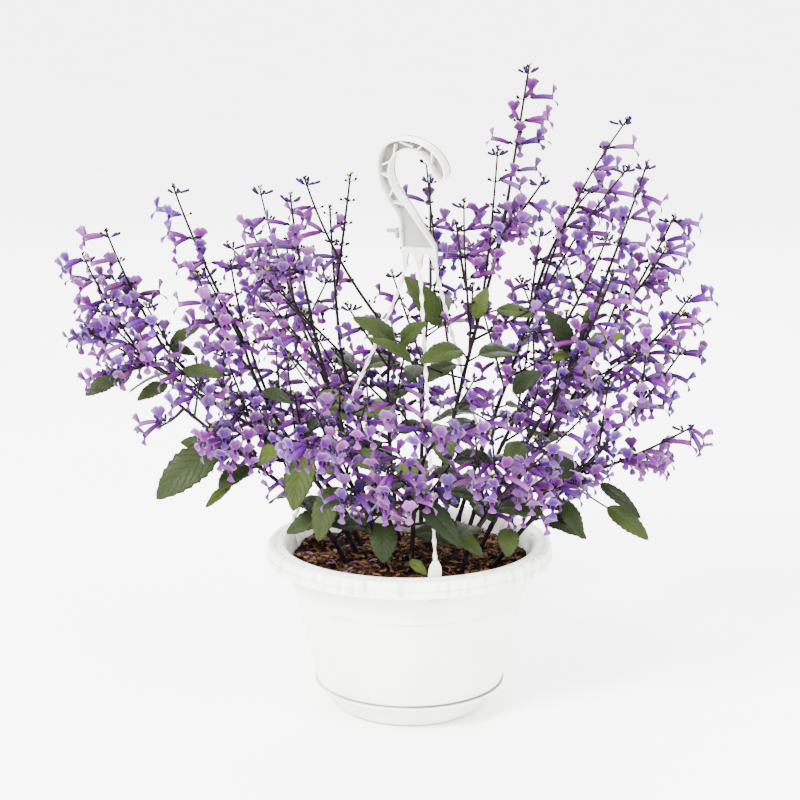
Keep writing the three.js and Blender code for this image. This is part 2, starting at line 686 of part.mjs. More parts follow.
// Leaves set by hand: the stem, the blade's foot, its tip and its width.
const LEAVES = [
  ["p1", [-159, -75, 251], [-209, -95, 212], 32],
  ["p1", [-156, -62, 246], [-193, -55, 251], 18],
  ["p1", [-149, -70, 218], [-171, -70, 198], 9],
  ["p1", [-127, -62, 237], [-105, -85, 250], 18],
  ["p1", [-88, -55, 242], [-97, -85, 199], 27],
  ["p12", [-65, -80, 219], [-76, -95, 176], 22],
  ["p6", [-75, -30, 289], [-50, -50, 267], 20],
  ["p5", [-11, -20, 325], [-48, -50, 356], 22],
  ["p5", [-8, -22, 327], [15, -45, 351], 18],
  ["p7", [2, -30, 315], [-37, -55, 340], 12],
  ["p5", [27, 35, 335], [-2, 20, 379], 24],
  ["p7", [45, -5, 320], [7, -40, 316], 20],
  ["p7", [56, -5, 348], [66, -10, 375], 16],
  ["p7", [75, 15, 352], [108, -5, 348], 15],
  ["p9", [136, -15, 322], [113, -30, 359], 20],
  ["p9", [136, -15, 319], [119, -35, 316], 11],
  ["p9", [149, -5, 317], [182, -20, 336], 20],
  ["p8", [124, 22, 382], [165, 5, 394], 12],
  ["p9", [87, -25, 288], [112, -40, 308], 18],
  ["p10", [150, 0, 339], [162, -5, 362], 12],
  ["p12", [-22, -80, 187], [-22, -95, 157], 24],
  ["p13", [8, -104, 214], [42, -122, 178], 20],
  ["p13", [0, -86, 157], [14, -96, 147], 10],
  ["p14", [35, -72, 181], [61, -85, 159], 15],
  ["p11", [83, -60, 178], [82, -75, 156], 19],
  ["p11", [141, -55, 230], [100, -75, 228], 24],
  ["p11", [127, -50, 200], [146, -65, 169], 17],
  ["p11", [160, -58, 216], [193, -75, 190], 13],
  ["p11", [167, -50, 193], [202, -60, 167], 18],
  ["p1", [-67, -60, 192], [-104, -72, 176], 18],
  ["p3", [-207, 8, 322], [-180, 0, 339], 12],
  ["p3", [-207, 5, 321], [-183, -10, 316], 11],
  ["p2", [-196, -5, 301], [-158, -20, 300], 15],
  ["p2", [-208, -8, 291], [-233, -20, 279], 14],
  ["p2", [-251, -5, 296], [-278, -15, 282], 17],
  ["p2", [-240, -5, 308], [-248, -15, 289], 12],
  ["p4", [-125, -30, 290], [-98, -50, 282], 13],
  ["p6", [-49, -30, 236], [-25, -50, 224], 20],
  ["p12", [-13, -60, 230], [17, -75, 222], 18],
  ["p7", [26, -30, 260], [32, -50, 229], 24],
  ["p13", [29, -62, 215], [40, -72, 198], 18],
  ["p6", [-32, -20, 276], [-10, -35, 260], 16],
  ["p12", [-74, -60, 232], [-53, -75, 225], 13],
];

// Stems whose other leaves are placed by rule, with how many each has.
const MORE_LEAVES = { p3: 2, p5: 1, p6b: 2, p8: 2, p10: 2, p15: 5, p16: 5, p17: 5 };
const MORE_LOW = 0.4;
const MORE_LENGTH = [38, 58];
const MORE_WIDTH = 0.55;

const LEAF_TURNS = [0, 20, -20, 42, -42, 65, -65];
const FLOWER_TURNS = [0, 28, -28, 56, -56];
const WHORL_ORDER = [1, 2, 2, 3, 3, 1, 4, 4];
const WHORL_TURNS = [[-35, 35, -100, 100], [0, 70, -70, 180]];
const FIRST_WHORL = 7;
const LAST_SHARE = 0.82;
const OWN_LIMIT = 9;
const CROSS_LIMIT = 0.001;

const stemCurves = Object.fromEntries(
  Object.entries(STEMS).map(([name, places]) => [
    name,
    new THREE.CubicBezierCurve3(...places.map(vector)),
  ]),
);

// A spray's axis: a bow from its foot to its tip.
function rachis(foot, tip, bow, swing) {
  const chord = tip.clone().sub(foot);
  const side = chord.clone().cross(UP).normalize();
  const over = side.clone().cross(chord);
  const bend = foot
    .clone()
    .addScaledVector(chord, 0.5)
    .addScaledVector(over, -bow)
    .addScaledVector(side, swing * chord.length());
  return new THREE.QuadraticBezierCurve3(foot, bend, tip);
}

// The axes of a spray: the first leaves its stem with a small gap, the second forks from it.
function sprayCurves([stem, share, tips, bow, swing]) {
  const curve = stemCurves[stem];
  const way = curve.getTangentAt(share);
  const place = curve.getPointAt(share);
  const first = vector(tips[0]);
  if (share === 1) {
    place.addScaledVector(way, NODE_CLEAR + 0.6 * RACHIS_ROOT_R);
  } else {
    const off = first.clone().sub(place);
    off.addScaledVector(way, -off.dot(way)).normalize();
    const radius = THREE.MathUtils.lerp(STEM_ROOT_R, STEM_TIP_R, share);
    place.addScaledVector(off, radius + RACHIS_ROOT_R + NODE_CLEAR);
  }
  const main = rachis(place, first, bow, swing);
  if (tips.length === 1) return [main];
  return [main, rachis(main.getPointAt(FORK), vector(tips[1]), bow, -swing)];
}

// Whorls down a spray's axis from its tip, as shares of its length from the foot.
function whorls(length, ...keys) {
  const shares = [];
  let down = FIRST_WHORL;
  for (let i = 0; down < length * LAST_SHARE; i++) {
    shares.push(1 - down / length);
    down += WHORL_STEP * spread(0.85, 1.15, ...keys, i);
  }
  return shares;
}

// The nodes made so far, by name. A new piece of one is kept where it crosses no other.
const made = new Map();

function boxesMeet(a, b) {
  return [0, 1, 2].every((i) => a.min[i] <= b.max[i] && b.min[i] <= a.max[i]);
}

function crosses(solid, other, limit) {
  if (!boxesMeet(solid.boundingBox(), other.boundingBox())) return false;
  return solid.intersect(other).volume() > limit;
}

function isClear(name, solid) {
  return [...made].every(([other, its]) => !crosses(solid, its, other === name ? OWN_LIMIT : CROSS_LIMIT));
}

// Fuses the first of the candidates that is clear into its node.
function fuse(name, candidates) {
  for (const candidate of candidates) {
    if (!isClear(name, candidate)) continue;
    made.set(name, made.get(name).add(candidate));
    return true;
  }
  return false;
}

function addLeaf(stem, foot, tip, width, facing) {
  const curve = stemCurves[stem];
  const under = foot.clone().setZ(foot.z - 8);
  const places = curve.getSpacedPoints(40).slice(12);
  const root = places.reduce((best, p) => (p.distanceTo(under) < best.distanceTo(under) ? p : best));
  const turnedTip = (turn) => tip.clone().sub(foot).applyAxisAngle(UP, radians(turn)).add(foot);
  fuse(
    "leafy_stem_" + stem.slice(1),
    LEAF_TURNS.map((turn) => leafSolid({ root, foot, tip: turnedTip(turn), width, facing })),
  );
}

function addLeavesByRule(stem, count, key) {
  const curve = stemCurves[stem];
  for (let i = 0; i < count; i++) {
    const share = MORE_LOW + ((1 - MORE_LOW) * (i + 0.5)) / count;
    const place = curve.getPointAt(share);
    const start = spread(0, 2 * Math.PI, key, i, 1);
    const angle = start + i * 2.4;
    const way = point(Math.cos(angle), Math.sin(angle), spread(-0.5, 0.1, key, i, 2)).normalize();
    const length = spread(...MORE_LENGTH, key, i, 3);
    const foot = place.clone().addScaledVector(way, 12).setZ(place.z + 9);
    const facing = point(Math.cos(angle), Math.sin(angle), 1 / LEAF_OUT);
    addLeaf(stem, foot, foot.clone().addScaledVector(way, length), length * MORE_WIDTH, facing);
  }
}

// The height that the crown reaches at a place across.
function crownTop(x) {
  const i = CROWN_TOP.findIndex(([next]) => x <= next);
  const [[x0, z0], [x1, z1]] = [CROWN_TOP[i - 1], CROWN_TOP[i]];
  return THREE.MathUtils.lerp(z0, z1, (x - x0) / (x1 - x0));
}

function isOpen({ x, y, z }) {
  const place = [x, y, z];
  const within = (low, high) => place.every((v, k) => v > low[k] && v < high[k]);
  return within(CROWN_LOW, CROWN_HIGH) && !within(...PLATE_ROOM) && z < crownTop(x);
}

// A side spray's straight axis at a turn from its drawn direction, or null where it has no room.
function sideCurve(curve, number, fork, turn) {
  const share = (fork + draw(90, number, fork)) / SIDE_SPRAYS;
  const place = curve.getPointAt(THREE.MathUtils.lerp(...SIDE_SHARES, share));
  const out = Math.atan2(place.y, place.x) + spread(-SIDE_TURN, SIDE_TURN, 91, number, fork);
  const rise = radians(spread(...SIDE_RISE, 92, number, fork));
  const angle = out + radians(turn);
  const flat = point(Math.cos(angle), Math.sin(angle), 0);
  const way = flat.multiplyScalar(Math.cos(rise)).addScaledVector(UP, Math.sin(rise));
  let length = spread(...SIDE_LENGTH, 93, number, fork);
  const tipAt = (reach) => place.clone().addScaledVector(way, reach);
  while (!isOpen(tipAt(length)) && length > SIDE_LEAST) length -= 10;
  if (length <= SIDE_LEAST) return null;
  return new THREE.LineCurve3(place, tipAt(length));
}

function addSideSpray(stem, curve, number, fork) {
  const name = "leafy_stem_" + stem.slice(1);
  for (const turn of SIDE_TURNS) {
    const axis = sideCurve(curve, number, fork, turn);
    if (!axis) continue;
    if (!fuse(name, [bentRod(axis, SIDE_ROOT_R, SIDE_TIP_R, SIDE_SIDES, SIDE_STEPS)])) continue;
    addFlowers(name, axis, [...axis.v2.toArray(), SIDE_FLOWERS], 100 + number, fork);
    return;
  }
}

// One spray's flowers from the tip down. A spray past its bloom has buds and emptied calyces.
function addFlowers(name, curve, tip, number, fork) {
  const length = curve.getLength();
  const shares = whorls(length, number, fork);
  const outward = Math.atan2(tip[1], tip[0]);
  const low = THREE.MathUtils.clamp((tip[2] - 300) / 150, -1, 1);
  const taken = shares.map(() => 0);
  const headings = (whorl, slot, turns) => {
    const turn = WHORL_TURNS[whorl % 2][slot % 4] + spread(-14, 14, number, fork, whorl, slot, 1);
    return turns.map((more) => {
      const angle = outward + radians(turn + more);
      return point(Math.cos(angle), Math.sin(angle), 0);
    });
  };
  for (let i = 0; i < tip[3]; i++) {
    const whorl = Math.min(WHORL_ORDER[i], shares.length - 1);
    const slot = taken[whorl]++;
    const root = curve.getPointAt(shares[whorl]);
    const lift = radians(-18 + 14 * low + spread(-22, 22, number, fork, whorl, slot, 2));
    const size = spread(0.9, 1.08, number, fork, whorl, slot, 3);
    fuse(
      name,
      headings(whorl, slot, FLOWER_TURNS).map((heading) => flowerSolid({ root, heading, lift, size })),
    );
  }
  if (tip[3] > 1) return;
  shares.forEach((share, whorl) => {
    const root = curve.getPointAt(share);
    const young = whorl < 2;
    const [heading] = headings(whorl, taken[whorl] + 1, [0]);
    const lift = radians(young ? 20 : 35);
    fuse(name, [
      podSolid({ root, heading, lift, length: young ? BUD_LENGTH / 2 : CALYX_LENGTH, radius: 1.5 }),
    ]);
  });
}

const group = new THREE.Group();
group.name = "potted_mona_lavender_plectranthus";

made.set("pot", pot());
made.set("saucer", saucer());
made.set("hanger", hanger());
made.set("potting_mix", pottingMix(Object.values(stemCurves)));
for (const [name, curve] of Object.entries(stemCurves)) {
  made.set(
    "leafy_stem_" + name.slice(1),
    bentRod(curve, STEM_ROOT_R, STEM_TIP_R, STEM_SIDES, STEM_STEPS),
  );
}
const sprayName = (i) => "flower_spray_" + String(i + 1).padStart(2, "0");
const axes = SPRAYS.map(sprayCurves);
axes.forEach((curves, i) => {
  const rods = curves.map((curve) =>
    bentRod(curve, RACHIS_ROOT_R, RACHIS_TIP_R, RACHIS_SIDES, RACHIS_STEPS),
  );
  made.set(sprayName(i), joined(rods));
});
const front = point(0, -1, 1 / LEAF_OUT);
for (const [stem, foot, tip, width] of LEAVES) {
  addLeaf(stem, vector(foot), vector(tip), width, front);
}
Object.entries(MORE_LEAVES).forEach(([stem, count], key) => addLeavesByRule(stem, count, key));
axes.forEach((curves, i) => {
  curves.forEach((curve, fork) => addFlowers(sprayName(i), curve, SPRAYS[i][2][fork], i, fork));
});
Object.entries(stemCurves).forEach(([stem, curve], number) => {
  for (let fork = 0; fork < SIDE_SPRAYS; fork++) addSideSpray(stem, curve, number, fork);
});

const LOOKS = [
  ["pot", COLOURS.pot],
  ["saucer", COLOURS.saucer],
  ["hanger", COLOURS.hanger],
  ["potting_mix", COLOURS.mix],
  ["leafy_stem", COLOURS.stem],
  ["flower_spray", COLOURS.flower],
];
for (const [name, solid] of made) {
  const [, look] = LOOKS.find(([start]) => name.startsWith(start));
  group.add(node(name, solid, look));
}

export default group;
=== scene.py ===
import math

import bpy
import numpy as np
from mathutils import Matrix, Vector
from mathutils.kdtree import KDTree


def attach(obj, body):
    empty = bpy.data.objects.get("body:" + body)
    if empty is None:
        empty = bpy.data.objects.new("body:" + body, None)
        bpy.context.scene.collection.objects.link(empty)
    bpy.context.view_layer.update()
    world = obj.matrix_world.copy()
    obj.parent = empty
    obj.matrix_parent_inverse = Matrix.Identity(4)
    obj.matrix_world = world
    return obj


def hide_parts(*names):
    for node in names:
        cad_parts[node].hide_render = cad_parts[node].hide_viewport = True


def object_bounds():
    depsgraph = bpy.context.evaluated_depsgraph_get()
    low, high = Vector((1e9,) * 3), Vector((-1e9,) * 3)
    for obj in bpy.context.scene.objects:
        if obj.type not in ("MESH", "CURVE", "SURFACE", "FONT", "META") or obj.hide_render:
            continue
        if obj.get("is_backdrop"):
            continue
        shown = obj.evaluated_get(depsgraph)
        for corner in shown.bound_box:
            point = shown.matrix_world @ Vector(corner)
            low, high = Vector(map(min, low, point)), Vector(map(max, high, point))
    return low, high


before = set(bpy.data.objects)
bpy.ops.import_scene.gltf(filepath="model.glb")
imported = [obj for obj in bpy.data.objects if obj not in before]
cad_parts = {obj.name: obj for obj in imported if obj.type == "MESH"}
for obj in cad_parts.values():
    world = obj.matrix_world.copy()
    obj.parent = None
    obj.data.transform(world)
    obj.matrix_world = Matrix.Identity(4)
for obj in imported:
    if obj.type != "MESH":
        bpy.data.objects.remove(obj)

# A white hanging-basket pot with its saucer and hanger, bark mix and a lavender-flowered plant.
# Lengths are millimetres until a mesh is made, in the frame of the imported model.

cad_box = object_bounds()

MM = 0.001
UP = Vector((0, 0, 1))
TAU = 2 * math.pi

# Seeded draws: the same mixing of keys as in the part's source, so its placements come back.
SEED = 20261
MIX_A = 2654435761
MIX_B = 2246822519
WORD = 0xFFFFFFFF


def draw(*keys):
    mixed = SEED
    for key in keys:
        mixed = ((mixed ^ key) * MIX_A) & WORD
        mixed ^= mixed >> 15
        mixed = (mixed * MIX_B) & WORD
        mixed ^= mixed >> 13
    return mixed / 2**32


def spread(low, high, *keys):
    return low + (high - low) * draw(*keys)


def clamp(value, low, high):
    return max(low, min(high, value))


def mix(a, b, share):
    return a + (b - a) * share


def smooth(low, high, value):
    share = clamp((value - low) / (high - low), 0, 1)
    return share * share * (3 - 2 * share)


def even(steps):
    """Even shares from 0 to 1."""
    return [k / steps for k in range(steps + 1)]


def taper(low, high, steps):
    return [mix(low, high, share) for share in even(steps)]


def turns(count):
    """The angles of even steps round a circle."""
    return [TAU * k / count for k in range(count)]


def unit(v):
    return v.normalized()


def toward(angle, rise=0.0):
    """The level direction at an angle, with a rise added to it."""
    return Vector((math.cos(angle), math.sin(angle), rise))


# Curves


def bezier(controls, t):
    row = controls
    while len(row) > 1:
        row = [a.lerp(b, t) for a, b in zip(row, row[1:])]
    return row[0]


class Curve:
    """A Bezier curve of any degree, with its places given by their share of its length."""

    DIVISIONS = 200

    def __init__(self, *points):
        self.controls = [Vector(p) for p in points]
        dots = [bezier(self.controls, t) for t in even(self.DIVISIONS)]
        self.lengths = [0.0]
        for a, b in zip(dots, dots[1:]):
            self.lengths.append(self.lengths[-1] + (b - a).length)
        self.length = self.lengths[-1]

    def time(self, share):
        target = clamp(share, 0, 1) * self.length
        i = min(int(np.searchsorted(self.lengths, target, side="right")) - 1, self.DIVISIONS - 1)
        span = self.lengths[i + 1] - self.lengths[i]
        return (i + (target - self.lengths[i]) / span) / self.DIVISIONS

    def at(self, share):
        return bezier(self.controls, self.time(share))

    def row(self, steps):
        return [self.at(share) for share in even(steps)]

    def way(self, share):
        t = self.time(share)
        ahead, behind = min(t + 1e-4, 1), max(t - 1e-4, 0)
        return unit(bezier(self.controls, ahead) - bezier(self.controls, behind))


def frames_along(places):
    """At each place of a path: its way and two directions across it, turned as little as possible."""
    ways = []
    for i in range(len(places)):
        ways.append(unit(places[min(i + 1, len(places) - 1)] - places[max(i - 1, 0)]))
    side = unit(ways[0].orthogonal())
    made = []
    for way in ways:
        side = unit(side - way * side.dot(way))
        made.append((way, side, way.cross(side)))
    return made


# Meshes


def show(thing):
    """Puts an object in the scene."""
    bpy.context.scene.collection.objects.link(thing)
    return thing


class Builder:
    """Gathers points and faces for one piece. Every point carries a place: across, along, tint."""

    def __init__(self):
        self.points, self.faces, self.looks, self.places = [], [], [], []
        self.count = 0

    def add(self, points, faces, look=0, places=None):
        points = np.asarray(points, dtype=float).reshape(-1, 3)
        if places is None:
            places = np.zeros((len(points), 3))
        self.points.append(points)
        self.places.append(np.asarray(places, dtype=float).reshape(-1, 3))
        self.faces.extend(tuple(self.count + i for i in face) for face in faces)
        self.looks.extend(look if isinstance(look, list) else [look] * len(faces))
        self.count += len(points)

    def mesh(self, name, materials, sharp=None):
        mesh = bpy.data.meshes.new(name)
        points = np.concatenate(self.points) * MM
        mesh.from_pydata(points.tolist(), [], self.faces)
        for material in materials:
            mesh.materials.append(material)
        mesh.polygons.foreach_set("material_index", self.looks)
        place = mesh.attributes.new("place", "FLOAT_VECTOR", "POINT")
        place.data.foreach_set("vector", np.concatenate(self.places).ravel())
        mesh.shade_smooth()
        if sharp:
            mesh.set_sharp_from_angle(angle=math.radians(sharp))
        mesh.validate()
        mesh.update()
        return mesh

    def piece(self, name, materials, slot, node, sharp=None):
        made = show(bpy.data.objects.new(name, self.mesh(name, materials, sharp)))
        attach(made, "root")
        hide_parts(node)


def grid_faces(rows, columns, closed=False, flip=False):
    """Quads of a grid of points in rows; closed joins each row's last point to its first."""
    faces = []
    for r in range(rows - 1):
        for c in range(columns if closed else columns - 1):
            a, b = r * columns + c, r * columns + (c + 1) % columns
            quad = (a, b, b + columns, a + columns)
            faces.append(quad[::-1] if flip else quad)
    return faces


def tube_faces(rows, sides, flip=False):
    """Faces of a tube of rings, closed by a flat face at each end."""
    first = tuple(range(sides))
    last = tuple((rows - 1) * sides + k for k in range(sides))
    ends = [first, last[::-1]] if flip else [first[::-1], last]
    return grid_faces(rows, sides, closed=True, flip=flip) + ends


def capped(builder, rings, foot, top, look=0):
    """A closed body of rings that runs to a point at its foot and to one at its top."""
    sides = len(rings[0])
    points = [foot, *(point for ring in rings for point in ring), top]
    faces = [tuple(i + 1 for i in face) for face in grid_faces(len(rings), sides, closed=True)]
    last = len(points) - 1
    for k in range(sides):
        after = (k + 1) % sides
        faces.append((0, 1 + after, 1 + k))
        faces.append((last, last - sides + k, last - sides + after))
    builder.add(points, faces, look)


def level_ring(radius, z, sides):
    return [(radius * math.cos(angle), radius * math.sin(angle), z) for angle in turns(sides)]


def rod(builder, places, radii, sides, look=0, tint=0.0, outline=None, twist=0.0):
    """A closed rod along the places. The outline gives a factor of the radius at each angle."""
    points, marks = [], []
    travelled = 0.0
    for i, (place, (_, a, b)) in enumerate(zip(places, frames_along(places))):
        if i:
            travelled += (place - places[i - 1]).length
        for k, angle in enumerate(turns(sides)):
            radius = radii[i] * (outline(angle) if outline else 1.0)
            turned = angle + twist * travelled
            points.append(place + (a * math.cos(turned) + b * math.sin(turned)) * radius)
            marks.append((k / sides, travelled, tint))
    builder.add(points, tube_faces(len(places), sides), look, marks)


def square(angle):
    """The outline of the plant's stems, a square with well-rounded corners."""
    return 1 - 0.1 * math.cos(4 * angle)


def add_sheet(builder, rows, columns, place, thick, tint, look_top, look_under, start=0.0):
    """A thin closed sheet through place(u, v), with u from -1 to 1 across and v from 0 to 1 along.

    Its underside is a copy of the inner points, and both sides share one rim.
    """
    top, marks = [], []
    for v in even(rows - 1):
        for w in even(columns - 1):
            u = 2 * w - 1
            top.append(place(u, v))
            marks.append((u, mix(start, 1, v), tint))
    points, places = list(top), list(marks)
    number = list(range(len(top)))
    for r in range(1, rows - 1):
        for c in range(1, columns - 1):
            i = r * columns + c
            normal = (top[i + 1] - top[i - 1]).cross(top[i + columns] - top[i - columns])
            normal = unit(normal) if normal.length > 1e-9 else UP
            number[i] = len(points)
            points.append(top[i] - normal * thick)
            places.append(marks[i])
    faces = grid_faces(rows, columns)
    below = [tuple(number[i] for i in reversed(face)) for face in faces]
    looks = [look_top] * len(faces) + [look_under] * len(below)
    builder.add(points, faces + below, looks, places)


# Materials


class Nodes:
    """Short calls for a material's nodes."""

    def __init__(self, name):
        self.material = bpy.data.materials.new(name)
        self.material.use_nodes = True
        self.tree = self.material.node_tree
        self.shader = self.tree.nodes["Principled BSDF"]

    def new(self, kind, inputs=(), **settings):
        made = self.tree.nodes.new(kind)
        for name, value in settings.items():
            setattr(made, name, value)
        for name, value in dict(inputs).items():
            self.feed(made.inputs[name], value)
        return made

    def feed(self, socket, value):
        if isinstance(value, bpy.types.NodeSocket):
            self.tree.links.new(value, socket)
        elif isinstance(value, str):
            socket.default_value = colour(value)
        else:
            socket.default_value = value

    def set(self, **values):
        for name, value in values.items():
            self.feed(self.shader.inputs[name.replace("_", " ")], value)

    def coordinates(self, scale=(1, 1, 1)):
        source = self.new("ShaderNodeTexCoord").outputs["Object"]
        return self.new("ShaderNodeMapping", {"Vector": source, "Scale": scale}).outputs[0]

    def height(self):
        return self.new("ShaderNodeSeparateXYZ", {0: self.coordinates()}).outputs["Z"]

    def place(self):
        """The mesh's place attribute as its three numbers."""
        source = self.new("ShaderNodeAttribute", attribute_name="place").outputs["Vector"]
        return self.new("ShaderNodeSeparateXYZ", {0: source}).outputs[:3]

    def vector(self, *parts):
        return self.new("ShaderNodeCombineXYZ", dict(enumerate(parts))).outputs[0]

    def noise(self, scale, detail=3.0, rough=0.55, vector=None):
        vector = vector or self.coordinates()
        inputs = {"Vector": vector, "Scale": scale, "Detail": detail, "Roughness": rough}
        return self.new("ShaderNodeTexNoise", inputs).outputs[0]

    def cells(self, scale, **settings):
        inputs = {"Vector": self.coordinates(), "Scale": scale}
        return self.new("ShaderNodeTexVoronoi", inputs, **settings).outputs["Distance"]

    def math(self, operation, a, b=0.0):
        node = self.new("ShaderNodeMath", operation=operation)
        self.feed(node.inputs[0], a)
        self.feed(node.inputs[1], b)
        return node.outputs[0]

    def times(self, a, b):
        return self.math("MULTIPLY", a, b)

    def size(self, value):
        return self.math("ABSOLUTE", value)

    def remainder(self, value, factor):
        return self.math("FRACT", self.times(value, factor))

    def range(self, value, low, high, to_low=0.0, to_high=1.0):
        names = ("Value", "From Min", "From Max", "To Min", "To Max")
        inputs = dict(zip(names, (value, low, high, to_low, to_high)))
        return self.new("ShaderNodeMapRange", inputs).outputs[0]

    def blend(self, share, a, b):
        node = self.new("ShaderNodeMix", data_type="RGBA")
        for place, value in ((0, share), (6, a), (7, b)):
            self.feed(node.inputs[place], value)
        return node.outputs[2]

    def ramp(self, value, *stops):
        node = self.new("ShaderNodeValToRGB", {"Fac": value})
        ramp = node.color_ramp
        while len(ramp.elements) < len(stops):
            ramp.elements.new(0.5)
        for element, (place, tone) in zip(ramp.elements, stops):
            element.position = place
            element.color = colour(tone)
        return node.outputs[0]

    def paint(self, tone, saturation, value, hue=0.5):
        """Sets the base colour, with its saturation and value scaled for the studio's bright light."""
        inputs = {"Color": tone, "Saturation": saturation, "Value": value, "Hue": hue}
        self.set(Base_Color=self.new("ShaderNodeHueSaturation", inputs).outputs[0])

    def rough(self, grain, low, high):
        """Sets the roughness between two values by a noise."""
        self.set(Roughness=self.range(grain, 0.3, 0.7, low, high))

    def bump(self, height, strength, distance=0.001):
        inputs = {"Height": height, "Strength": strength, "Distance": distance}
        self.set(Normal=self.new("ShaderNodeBump", inputs).outputs[0])


def colour(code):
    """A linear colour from an sRGB hex code."""
    parts = [int(code[i : i + 2], 16) / 255 for i in (1, 3, 5)]
    return (*[c / 12.92 if c <= 0.04045 else ((c + 0.055) / 1.055) ** 2.4 for c in parts], 1.0)


RIM_TOP = 150
RIM_SKIRT = 15

# Painted shade lines in the white plastic's creases, at the seam by the saucer, the ledge, under the
# rim and at its top: height, half the width, strength and colour.
PAINTED_SHADE_LINES = [
    (25.6, 1.1, 0.95, "#6f6c5e"),
    (104.6, 1.4, 0.35, "#a3a498"),
    (141.3, 0.9, 0.5, "#9c9d92"),
    (149.2, 0.5, 0.4, "#a8a99e"),
]

# A leaf's side veins on each half, and how far they lean towards its tip.
VEINS = 7
VEIN_SLANT = 2.6


def plastic_look(name, light, shade, roughness, grain):
    """White moulded plastic with cloudiness, painted shade lines and rim streaks, and turning marks.
    """
    n = Nodes(name)
    height = n.height()
    patchy = n.range(n.noise(9, 2), 0.35, 0.6, 0.35, 1.0)
    tone = n.blend(n.range(n.noise(28, 2), 0.3, 0.7), light, shade)
    # Painted shade: a patchy dark line at each step and crease of the plastic.
    for place, half, strength, shade_colour in PAINTED_SHADE_LINES:
        off = n.size(n.math("SUBTRACT", height, place * MM))
        line = n.range(off, 0.6 * half * MM, half * MM, strength, 0.0)
        tone = n.blend(n.times(line, patchy), tone, shade_colour)
    skirt = RIM_TOP - RIM_SKIRT
    rim = n.range(height, skirt * MM, (skirt + 3) * MM, 0.0, 0.75)
    # Painted shade: dark grey streaks over the rim, above the skirt.
    rim_shade_streaks = n.range(n.noise(1.0, 4, 0.6, n.coordinates((150, 150, 14))), 0.5, 0.72)
    n.set(Base_Color=n.blend(n.times(rim_shade_streaks, rim), tone, "#8d8e84"))
    n.rough(n.noise(90, 4), roughness - 0.06, roughness + 0.08)
    rings = n.noise(1.0, 2, vector=n.coordinates((18, 18, 900)))
    n.bump(n.math("ADD", n.times(rings, grain), n.noise(1400, 2)), 0.12, 0.0003)
    n.set(IOR=1.47, Subsurface_Weight=0.12, Subsurface_Scale=0.004)
    n.shader.inputs["Subsurface Radius"].default_value = (1.0, 0.98, 0.92)
    return n.material


def hanger_look():
    """Thin natural plastic, a little greyer and more see-through than the pot."""
    n = Nodes("hanger_plastic")
    n.set(Base_Color=n.blend(n.range(n.noise(60, 3), 0.35, 0.7), "#d0d0ca", "#b9b9ae"))
    n.rough(n.noise(300, 3), 0.3, 0.48)
    n.bump(n.noise(700, 3), 0.15, 0.0003)
    n.set(IOR=1.49, Subsurface_Weight=0.2, Subsurface_Scale=0.003)
    return n.material


def recess_shade_look():
    """The hanger's web behind its rim, painted in shade: darker and more beige towards the hook's top.
    """
    n = Nodes("hanger_recess_painted_shade")
    # Painted shade: the recess dark grey, darker and beige towards the hook's top.
    shade_by_height = n.blend(n.range(n.height(), 0.452, 0.5), "#74756e", "#544b41")
    patch = n.range(n.noise(70, 3), 0.35, 0.7, 0.0, 0.45)
    n.set(Base_Color=n.blend(patch, shade_by_height, "#8a8a82"), IOR=1.49)
    n.rough(n.noise(300, 3), 0.4, 0.6)
    n.bump(n.noise(700, 3), 0.15, 0.0003)
    return n.material


def soil_look():
    """Dark damp peat between the chips."""
    n = Nodes("damp_peat")
    tone = n.ramp(n.noise(420, 5, 0.7), (0.3, "#080503"), (0.55, "#150c07"), (0.75, "#26160c"))
    n.set(Base_Color=tone, Roughness=0.95, Specular_IOR_Level=0.02)
    n.bump(n.noise(900, 5, 0.7), 0.7, 0.002)
    return n.material


def bark_look():
    """Shredded bark: each chip has its own tone, with fibres along it."""
    n = Nodes("shredded_bark")
    across, along, tint = n.place()
    stops = [(0.0, "#1e110a"), (0.3, "#43240f"), (0.55, "#7a451d"), (0.8, "#a9682f"), (1.0, "#c98d4e")]
    grain = n.vector(n.times(across, 4.0), n.times(along, 0.35), n.times(tint, 40.0))
    fibre = n.noise(9, 3, 0.7, grain)
    n.paint(n.blend(n.range(fibre, 0.3, 0.7, 0.0, 0.65), n.ramp(tint, *stops), "#180d07"), 0.85, 0.4)
    n.rough(fibre, 0.7, 0.95)
    n.set(Specular_IOR_Level=0.06)
    n.bump(fibre, 0.8, 0.0008)
    return n.material


def stem_look():
    """Dark purple-black stems, green-brown where the light has reached the old wood."""
    n = Nodes("purple_black_stem")
    patch = n.noise(45, 4)
    tone = n.ramp(patch, (0.3, "#1d131c"), (0.5, "#35222f"), (0.68, "#54404a"), (0.85, "#6b6350"))
    streak = n.noise(1.0, 3, vector=n.coordinates((900, 900, 60)))
    n.paint(n.blend(n.range(streak, 0.35, 0.75, 0.0, 0.5), tone, "#120c12"), 1.1, 0.13)
    n.rough(patch, 0.42, 0.65)
    n.bump(streak, 0.35, 0.0004)
    n.set(Specular_IOR_Level=0.06)
    return n.material


